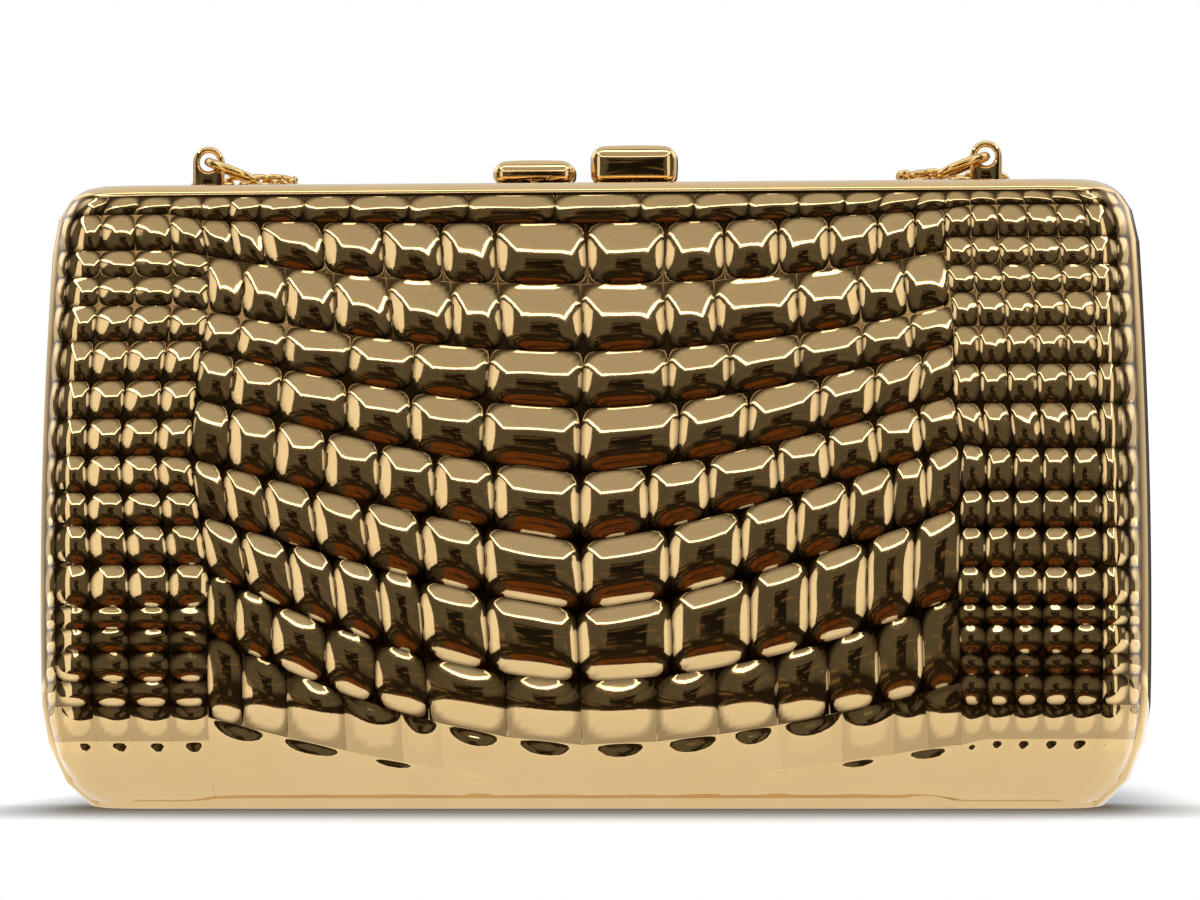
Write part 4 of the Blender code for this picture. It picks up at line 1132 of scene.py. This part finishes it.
def rounded_block(bm, low, high, corner, crown, flat_steps, foot_corner):
    """A block with rounded edges, tighter at its foot, and slightly crowned faces."""
    low = Vector(low)
    high = Vector(high)
    middle = (low + high) / 2
    half = (high - low) / 2 - Vector((crown, crown, crown))
    marks = [ticks(half[axis], corner, flat_steps) for axis in range(3)]
    made = []
    for axis in range(3):
        first = (axis + 1) % 3
        second = (axis + 2) % 3
        for sign in (-1, 1):
            rows = []
            for a in marks[first]:
                row = []
                for b in marks[second]:
                    place = Vector()
                    place[axis] = sign * half[axis]
                    place[first] = a
                    place[second] = b
                    reach = Vector((corner, corner, corner if place.z > 0 else foot_corner))
                    core = Vector([min(max(place[k], reach[k] - half[k]), half[k] - reach[k])
                                   for k in range(3)])
                    out = Vector([(place[k] - core[k]) / reach[k] for k in range(3)]).normalized()
                    place = core + Vector([out[k] * reach[k] for k in range(3)])
                    shares = [place[k] / half[k] for k in range(3)]
                    bulge = [shares[k] * (1 - shares[k - 1] ** 2) * (1 - shares[k - 2] ** 2)
                             for k in range(3)]
                    row.append(bm.verts.new(middle + place + Vector(bulge) * crown))
                rows.append(row)
                made += row
            skin(bm, rows)
    bmesh.ops.remove_doubles(bm, verts=made, dist=0.000002)


def round_bar(bm, x, y, z_low, z_high, radius, turns):
    """An upright round bar with closed ends."""
    rings = []
    for z in (z_low, z_high):
        rings.append([bm.verts.new((x + radius * math.cos(2 * math.pi * turn / turns),
                                    y + radius * math.sin(2 * math.pi * turn / turns), z))
                      for turn in range(turns)])
    for turn in range(turns):
        after = (turn + 1) % turns
        bm.faces.new((rings[0][turn], rings[0][after], rings[1][after], rings[1][turn]))
    bm.faces.new(rings[0])
    bm.faces.new(rings[1])


def solid_piece(name, bm, material):
    """A smooth piece from a mesh under construction."""
    bmesh.ops.recalc_face_normals(bm, faces=bm.faces)
    mesh = mesh_of(name, bm)
    mesh.shade_smooth()
    mesh.materials.append(material)
    return linked(name, mesh)


knob_lift = 0.00035
for name, body in (("fixed_knob", "front_half"), ("release_knob", "release")):
    low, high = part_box(name)
    knob_bm = bmesh.new()
    rounded_block(knob_bm, (low[0], low[1], top + knob_lift), high, knob_corner, knob_crown,
                  knob_flat_steps, knob_foot_corner)
    if name == "fixed_knob":
        round_bar(knob_bm, stem_offset, -stem_setback, low[2], top + knob_lift + knob_foot_corner,
                  stem_radius * stem_neck_share, 24)
    knob = solid_piece(name + "_cushion", knob_bm, knob_gold)
    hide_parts(name)
    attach(knob, body)


# Lugs and jump rings
# Two cast tabs stand up through slots near the ends of the rear half, each with a round eye
# and softly rounded edges. A ring of gold-plated wire hangs through each eye.

lug_bevel = 0.0005
bevel_steps = 4
eye_radius = 0.0015
eye_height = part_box("chain_lug_left")[1][2] - lug_width / 2
lug_foot_corner = 0.0002
foot_thickness = 0.001
foot_length = 0.0075
foot_back = 0.0057
arch_steps = 24
side_steps = 10
ring_radius = 0.0041
ring_wire = 0.0014
ring_droop = math.radians(22)
ring_steps = 72
wire_steps = 16


def tab_outline(inset, drop):
    """Points round a lug's tab from its eye: over the arch, down the left, and back along the foot."""
    radius = lug_width / 2 - inset
    angles = [math.pi * step / arch_steps for step in range(arch_steps)]
    points = [(radius * math.cos(angle), radius * math.sin(angle)) for angle in angles]
    points += [(-radius, -drop * step / side_steps) for step in range(side_steps)]
    points += [(radius * (2 * step / side_steps - 1), -drop) for step in range(side_steps)]
    points += [(radius, drop * (step / side_steps - 1)) for step in range(side_steps)]
    return points


def eye_outline(radius, drop):
    """Points round a lug's eye, one for each point of the tab's outline."""
    return [(radius * x / math.hypot(x, z), radius * z / math.hypot(x, z))
            for x, z in tab_outline(0, drop)]


def lug_tab(bm, x_centre, foot_level):
    """A tab with rounded edges round its outline and its eye."""
    drop = eye_height - foot_level
    loops = []
    for y_mid, sign in ((lug_front, 1), (lug_back, -1)):
        bends = [math.pi / 2 * step / bevel_steps for step in range(bevel_steps + 1)]
        if sign < 0:
            bends.reverse()
        eye_side = []
        rim_side = []
        for bend in bends:
            y = y_mid + sign * lug_bevel * (1 - math.sin(bend))
            inset = lug_bevel * (1 - math.cos(bend))
            eye_side.append([(x, y, z) for x, z in eye_outline(eye_radius + inset, drop)])
            rim_side.append([(x, y, z) for x, z in tab_outline(inset, drop)])
        if sign > 0:
            loops += eye_side + rim_side[::-1]
        else:
            loops += rim_side[::-1] + eye_side
    rings = [[bm.verts.new((x_centre + x, y, eye_height + z)) for x, y, z in loop] for loop in loops]
    for ring, after in zip(rings, rings[1:] + rings[:1]):
        for index in range(len(ring)):
            following = (index + 1) % len(ring)
            bm.faces.new((ring[index], ring[following], after[following], after[index]))


for side, word in ((-1, "left"), (1, "right")):
    lug_x = side * lug_spacing / 2
    foot_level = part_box("chain_lug_" + word)[0][2]
    lug_bm = bmesh.new()
    lug_tab(lug_bm, lug_x, foot_level)
    foot_ends = sorted((lug_x - side * foot_length, lug_x + side * lug_width / 2))
    rounded_block(lug_bm, (foot_ends[0], lug_front, foot_level),
                  (foot_ends[1], foot_back, foot_level + foot_thickness),
                  lug_foot_corner, 0, 2, lug_foot_corner)
    lug = solid_piece("lug_tab_" + word, lug_bm, knob_gold)
    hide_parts("chain_lug_" + word)
    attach(lug, "rear_half")

    # The ring leans in towards the middle of the case
    lean = Vector((-side * math.cos(ring_droop), 0, -math.sin(ring_droop)))
    across = Vector((0, 1, 0))
    ring_normal = lean.cross(across).normalized()
    ring_centre = Vector((lug_x, lug_setback, eye_height)) + lean * ring_radius
    ring_bm = bmesh.new()
    ring_rows = []
    for step in range(ring_steps):
        angle = 2 * math.pi * step / ring_steps
        out = lean * math.cos(angle) + across * math.sin(angle)
        row = []
        for turn in range(wire_steps):
            spin = 2 * math.pi * turn / wire_steps
            offset = out * math.cos(spin) + ring_normal * math.sin(spin)
            row.append(ring_bm.verts.new(ring_centre + out * ring_radius + offset * ring_wire / 2))
        ring_rows.append(row + row[:1])
    skin(ring_bm, ring_rows + ring_rows[:1])
    ring = solid_piece("jump_ring_wire_" + word, ring_bm, chain_gold)
    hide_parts("jump_ring_" + word)
    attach(ring, "ring_" + word)


# Linings
# Two trays of card covered in soft brown leather, glued in behind the frames. A round welt
# finishes each rim, with a line of stitches below it.

lining_inset = 0.0032
lining_wall = 0.001
lining_edge = 0.0063
welt_radius = 0.00055
welt_step = 0.0022
stitch_drop = 0.0028
stitch_pitch = 0.0028
stitch_length = 0.0019
stitch_thread = 0.00042


def hide(name, colour, shade, roughness, grain, grain_depth):
    """Soft leather: fine cells, slow creases, and a colour that deepens between the cells."""
    material, nodes, shader = surface(name)
    shader.inputs["Specular IOR Level"].default_value = 0.4
    place = nodes.add("ShaderNodeTexCoord", output="Object")
    cells = nodes.add("ShaderNodeTexVoronoi", {"feature": "DISTANCE_TO_EDGE"}, {
        "Vector": place, "Scale": grain}, "Distance")
    creases = nodes.noise(place, grain / 20, 4)
    cell_share = nodes.maths("MINIMUM", cells * 6, 1.0)
    tone = nodes.blend(cell_share * (0.5 + 0.5 * creases), (*shade, 1), (*colour, 1))
    dullness = roughness + (0.5 - cell_share * 0.5) * 0.3
    relief = nodes.add("ShaderNodeBump", {}, {
        "Height": cell_share + creases * 3, "Strength": 1.0, "Distance": grain_depth})
    nodes.feed(shader, {"Base Color": tone, "Roughness": dullness, "Normal": relief})
    return material


def rim_line(name, facing, inset, edge):
    """A closed line parallel to a tray's rim."""
    bm = bmesh.new()
    rows = dome_grid(bm, facing, inset, lambda height: edge, 6, 6, 12)
    places = [vert.co.copy() for vert in rim_loop(rows)]
    bm.free()
    return line_object(name, places, True)


def welt_tree():
    """A round welt along a rim."""
    nodes, given = geometry_tree("lining_welt", {
        "Radius": "Float", "Step": "Float", "Material": "Material"})
    line = nodes.even_points(given["Geometry"], given["Step"])
    section = nodes.add("GeometryNodeCurvePrimitiveCircle", {}, {
        "Resolution": 10, "Radius": given["Radius"]})
    welt = nodes.add("GeometryNodeCurveToMesh", {}, {"Curve": line, "Profile Curve": section})
    finish_tree(nodes, welt, given["Material"])
    return nodes


def stitch_tree():
    """Stitches along a rim."""
    nodes, given = geometry_tree("lining_stitches", {
        "Pitch": "Float", "Stitch Length": "Float", "Thread": "Float", "Material": "Material"})
    line = nodes.even_points(given["Geometry"], given["Pitch"])
    bead = nodes.add("GeometryNodeMeshUVSphere", {}, {"Segments": 6, "Rings": 5, "Radius": 0.5})
    size = nodes.add("ShaderNodeCombineXYZ", {}, {
        "X": given["Stitch Length"], "Y": given["Thread"], "Z": given["Thread"]})
    row = nodes.add("GeometryNodeInstanceOnPoints", {}, {
        "Points": line, "Instance": bead, "Rotation": nodes.along_curve(), "Scale": size})
    finish_tree(nodes, row, given["Material"])
    return nodes


lining_hide = hide("lining_hide", (0.30, 0.20, 0.13), (0.19, 0.12, 0.075), 0.5, 1300, 0.00005)
thread = hide("lining_thread", (0.42, 0.30, 0.19), (0.28, 0.19, 0.12), 0.7, 4000, 0.00002)
welt_nodes = welt_tree()
stitch_nodes = stitch_tree()
for name, facing, body in (("front", -1, "front_half"), ("rear", 1, "rear_half")):
    tray_bm = bmesh.new()
    tray_outer = dome_grid(tray_bm, facing, lining_inset, lambda height: lining_edge, 8, 6, 14)
    tray_inner = dome_grid(tray_bm, facing, lining_inset + lining_wall, lambda height: lining_edge,
                           8, 6, 14)
    skin(tray_bm, tray_outer)
    skin(tray_bm, tray_inner)
    stitch(tray_bm, rim_loop(tray_outer), rim_loop(tray_inner))
    tray = solid_piece(name + "_lining_tray", tray_bm, lining_hide)
    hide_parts(name + "_lining")
    welt_line = rim_line(name + "_welt_line", facing, lining_inset + welt_radius, lining_edge + welt_radius)
    welt = plain_mesh(name + "_lining_welt", welt_line, welt_nodes, {
        "Radius": welt_radius, "Step": welt_step, "Material": lining_hide})
    stitch_line = rim_line(name + "_stitch_line", facing, lining_inset + lining_wall,
                           lining_edge + stitch_drop)
    stitches = plain_mesh(name + "_lining_stitches", stitch_line, stitch_nodes, {
        "Pitch": stitch_pitch, "Stitch Length": stitch_length, "Thread": stitch_thread,
        "Material": thread})
    for piece in (tray, welt, stitches):
        piece.data.shade_smooth()
        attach(piece, body)


# Frames, hinge, catch and fixings
# Satin brass strip stiffens each rim and carries the catch. The hinge leaves are brass too,
# and the pin, slide, spring, screws and rivets are plain turned steel.

satin_brass = plated_metal("satin_brass", (0.74, 0.54, 0.28), (0.64, 0.45, 0.21), 0.3, 1800, 0.000005)
turned_steel = plated_metal("turned_steel", (0.56, 0.56, 0.57), (0.44, 0.44, 0.45), 0.28, 2600, 0.000004)
brass_nodes = ("front_frame", "rear_frame", "front_hinge_leaf", "rear_hinge_leaf", "latch_guide",
               "keeper")
steel_nodes = ("hinge_pin", "latch_slide", "latch_spring", "fixed_knob_screw", "knob_screw",
               "guide_screw_left", "guide_screw_right", "keeper_screw", "lug_rivet_left",
               "lug_rivet_right")
for names, finish in ((brass_nodes, satin_brass), (steel_nodes, turned_steel)):
    for name in names:
        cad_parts[name].data.materials.clear()
        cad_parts[name].data.materials.append(finish)


# Floor, lamps and room
# A white table in a dark room, under a big framed softbox, with a white panel on each side. A shadow is
# painted on the table in front of the case.

lamp_gain = math.pi


def softbox(name, place, aim, width, height, level):
    """A rectangular lamp whose face has an even brightness, where 1 is white."""
    lamp = bpy.data.lights.new(name, "AREA")
    lamp.shape = "RECTANGLE"
    lamp.size = width
    lamp.size_y = height
    lamp.energy = lamp_gain * width * height * level
    holder = linked(name, lamp)
    holder.location = place
    holder.rotation_mode = "QUATERNION"
    holder.rotation_quaternion = (Vector(aim) - Vector(place)).to_track_quat("-Z", "Y")
    holder.visible_camera = False
    return holder


panel_x = 0.3
panels = (("front", -0.25, 0.09, 0.2, 0.34, 0.95), ("back", 0.25, 0.2, 0.4, 0.5, 0.55))
for word, side in (("left", -1), ("right", 1)):
    for place_word, y, z, width, height, level in panels:
        softbox(word + "_" + place_word + "_panel", (side * panel_x, y, z), (0, y, z), width, height, level)

# A lamp above and behind, which throws the case's shadow forwards and isn't mirrored in the metal
shadow_lamp = softbox("shadow_lamp", (0, 0.3, 0.6), (0, 0, 0), 0.5, 0.3, 7)
shadow_lamp.visible_glossy = False

# The softbox overhead: a dim middle inside four bright strips
sky_height = 0.55
sky_front = -1.08
sky_back = -0.16
sky_half_width = 0.5
strip = 0.09
front_strip = 0.16
sky_middle = (sky_front + sky_back) / 2
sky_length = sky_back - sky_front
sky_level = 0.38
strip_level = 4
for word, x, y, width, length, level in (
        ("middle", 0, sky_middle, 2 * sky_half_width, sky_length, sky_level),
        ("left", -sky_half_width - strip / 2, sky_middle, strip, sky_length, strip_level),
        ("right", sky_half_width + strip / 2, sky_middle, strip, sky_length, strip_level),
        ("front", 0, sky_front - front_strip / 2, 2 * (sky_half_width + strip), front_strip, strip_level),
        ("back", 0, sky_back + strip / 2, 2 * (sky_half_width + strip), strip, strip_level)):
    softbox("sky_" + word, (x, y, sky_height), (x, y, 0), width, length, level)

table_front = -0.055
floor_front = -0.4
table_back = 0.55
table_half_width = 0.5
back_fade = (0.05, 0.17)
front_fade = (-0.07, -0.3)
mirrored_white = 0.8
# Painted shadow: the floor's colour turns grey in front of the case's foot, over this length and width.
painted_shadow_length = 0.085
painted_shadow_side_share = 0.86
unshadowed_floor_white = (0.95, 0.95, 0.95, 1)
painted_shadow_grey = (0.2, 0.21, 0.23, 1)

floor_bm = bmesh.new()
corners = [floor_bm.verts.new(corner) for corner in (
    (-table_half_width, floor_front, 0), (table_half_width, floor_front, 0),
    (table_half_width, table_back, 0), (-table_half_width, table_back, 0))]
floor_bm.faces.new(corners)
floor_mesh = mesh_of("floor", floor_bm)
floor = linked("floor", floor_mesh)
floor_white, floor_nodes, floor_shader = surface("floor_white")
floor_shader.inputs["Roughness"].default_value = 0.6
floor_x = floor_nodes.add("ShaderNodeSeparateXYZ", {}, {
    "Vector": floor_nodes.add("ShaderNodeTexCoord", output="Object")})
away_y = floor_nodes.other(floor_x, "Y")
# Painted shadow on the floor: grey close to the front of the foot, fading forwards and beyond the case's
# sides.
shadow_nearness = floor_nodes.add("ShaderNodeMapRange", {"interpolation_type": "SMOOTHERSTEP"}, {
    "Value": away_y, "From Min": -base_half_depth - painted_shadow_length, "From Max": -base_half_depth})
shadow_beside = floor_nodes.rise_over(floor_nodes.maths("ABSOLUTE", floor_x), half_width_full + painted_shadow_length / 4,
                               half_width_full * painted_shadow_side_share)
painted_shadow_colour = floor_nodes.blend(shadow_nearness * shadow_nearness * shadow_beside, unshadowed_floor_white, painted_shadow_grey)
floor_nodes.feed(floor_shader, {"Base Color": painted_shadow_colour})
paper_share = floor_nodes.rise_over(away_y, *back_fade) + floor_nodes.rise_over(away_y, *front_fade)
floor_ray = floor_nodes.add("ShaderNodeLightPath", output="Is Camera Ray")
mirror_ray = floor_nodes.other(floor_ray, "Is Glossy Ray")
paper = floor_nodes.add("ShaderNodeEmission", {}, {"Strength": 1.0}, "Emission")
lit = floor_nodes.add("ShaderNodeMixShader", {}, {
    0: paper_share * floor_ray + mirror_ray * mirrored_white,
    1: Signal(floor_nodes, floor_shader.outputs[0]), 2: paper})

# In front of the table's edge only the camera sees the floor
nothing = floor_nodes.add("ShaderNodeBsdfTransparent")
seen = floor_nodes.add("ShaderNodeMixShader", {}, {
    0: (away_y < table_front) * (1 - floor_ray), 1: lit, 2: nothing})
floor_nodes.feed(floor_white.node_tree.nodes["Material Output"], {"Surface": seen})
floor_mesh.materials.append(floor_white)

# The room, by direction: bright above and behind, brown below, and dim in front
room = bpy.data.worlds.new("room")
bpy.context.scene.world = room
room.use_nodes = True
room_nodes = Nodes(room.node_tree)
background = room.node_tree.nodes["Background"]
rise_over = room_nodes.rise_over
blend = room_nodes.blend
direction = room_nodes.add("ShaderNodeTexCoord", output="Generated")
east = room_nodes.add("ShaderNodeSeparateXYZ", {}, {"Vector": direction})
north = room_nodes.other(east, "Y")
height = room_nodes.other(east, "Z")
sideways_share = room_nodes.maths("ABSOLUTE", east)
height_share = room_nodes.maths("ABSOLUTE", height)
dim_room = (0.095, 0.088, 0.072, 1)
dark_front = (0.012, 0.010, 0.008, 1)
brown_below = (0.15, 0.05, 0.013, 1)
warm_streak = (0.30, 0.20, 0.10, 1)
dim_below = (0.06, 0.05, 0.035, 1)
dark_below = (0.02, 0.015, 0.01, 1)
white_back = (0.75, 0.76, 0.77, 1)
streak_stretch = (3, 3, 34)
opening = room_nodes.maths("MAXIMUM", rise_over(sideways_share, 0.16, 0.2),
                           rise_over(height_share, 0.16, 0.2))
room_colour = blend(opening, dark_front, dim_room)
room_colour = blend(rise_over(height, -0.1, -0.2), room_colour, dark_below)
stretched = room_nodes.add("ShaderNodeVectorMath", {"operation": "MULTIPLY"}, {
    0: direction, 1: streak_stretch}, "Vector")
streaks = room_nodes.noise(stretched, 1.0, 2)
brown_colour = blend(rise_over(sideways_share, 0.34, 0.42), brown_below, dim_below)
brown_colour = blend(rise_over(streaks, 0.5, 0.62), brown_colour, dark_below)
room_colour = blend(rise_over(streaks, 0.6, 0.66) * 0.7, room_colour, warm_streak)
room_colour = blend(rise_over(height, -0.38, -0.44), room_colour, brown_colour)
room_colour = blend(rise_over(height, -0.77, -0.8), room_colour, dark_below)
room_colour = blend(rise_over(north, 0.0, 0.1) * rise_over(height, 0.1, 0.25), room_colour, white_back)
camera_ray = room_nodes.add("ShaderNodeLightPath", output="Is Camera Ray")
room_colour = blend(camera_ray, room_colour, (1, 1, 1, 1))
room.node_tree.links.new(room_colour.socket, background.inputs["Color"])
background.inputs["Strength"].default_value = 1
bpy.context.scene.view_settings.view_transform = "Standard"
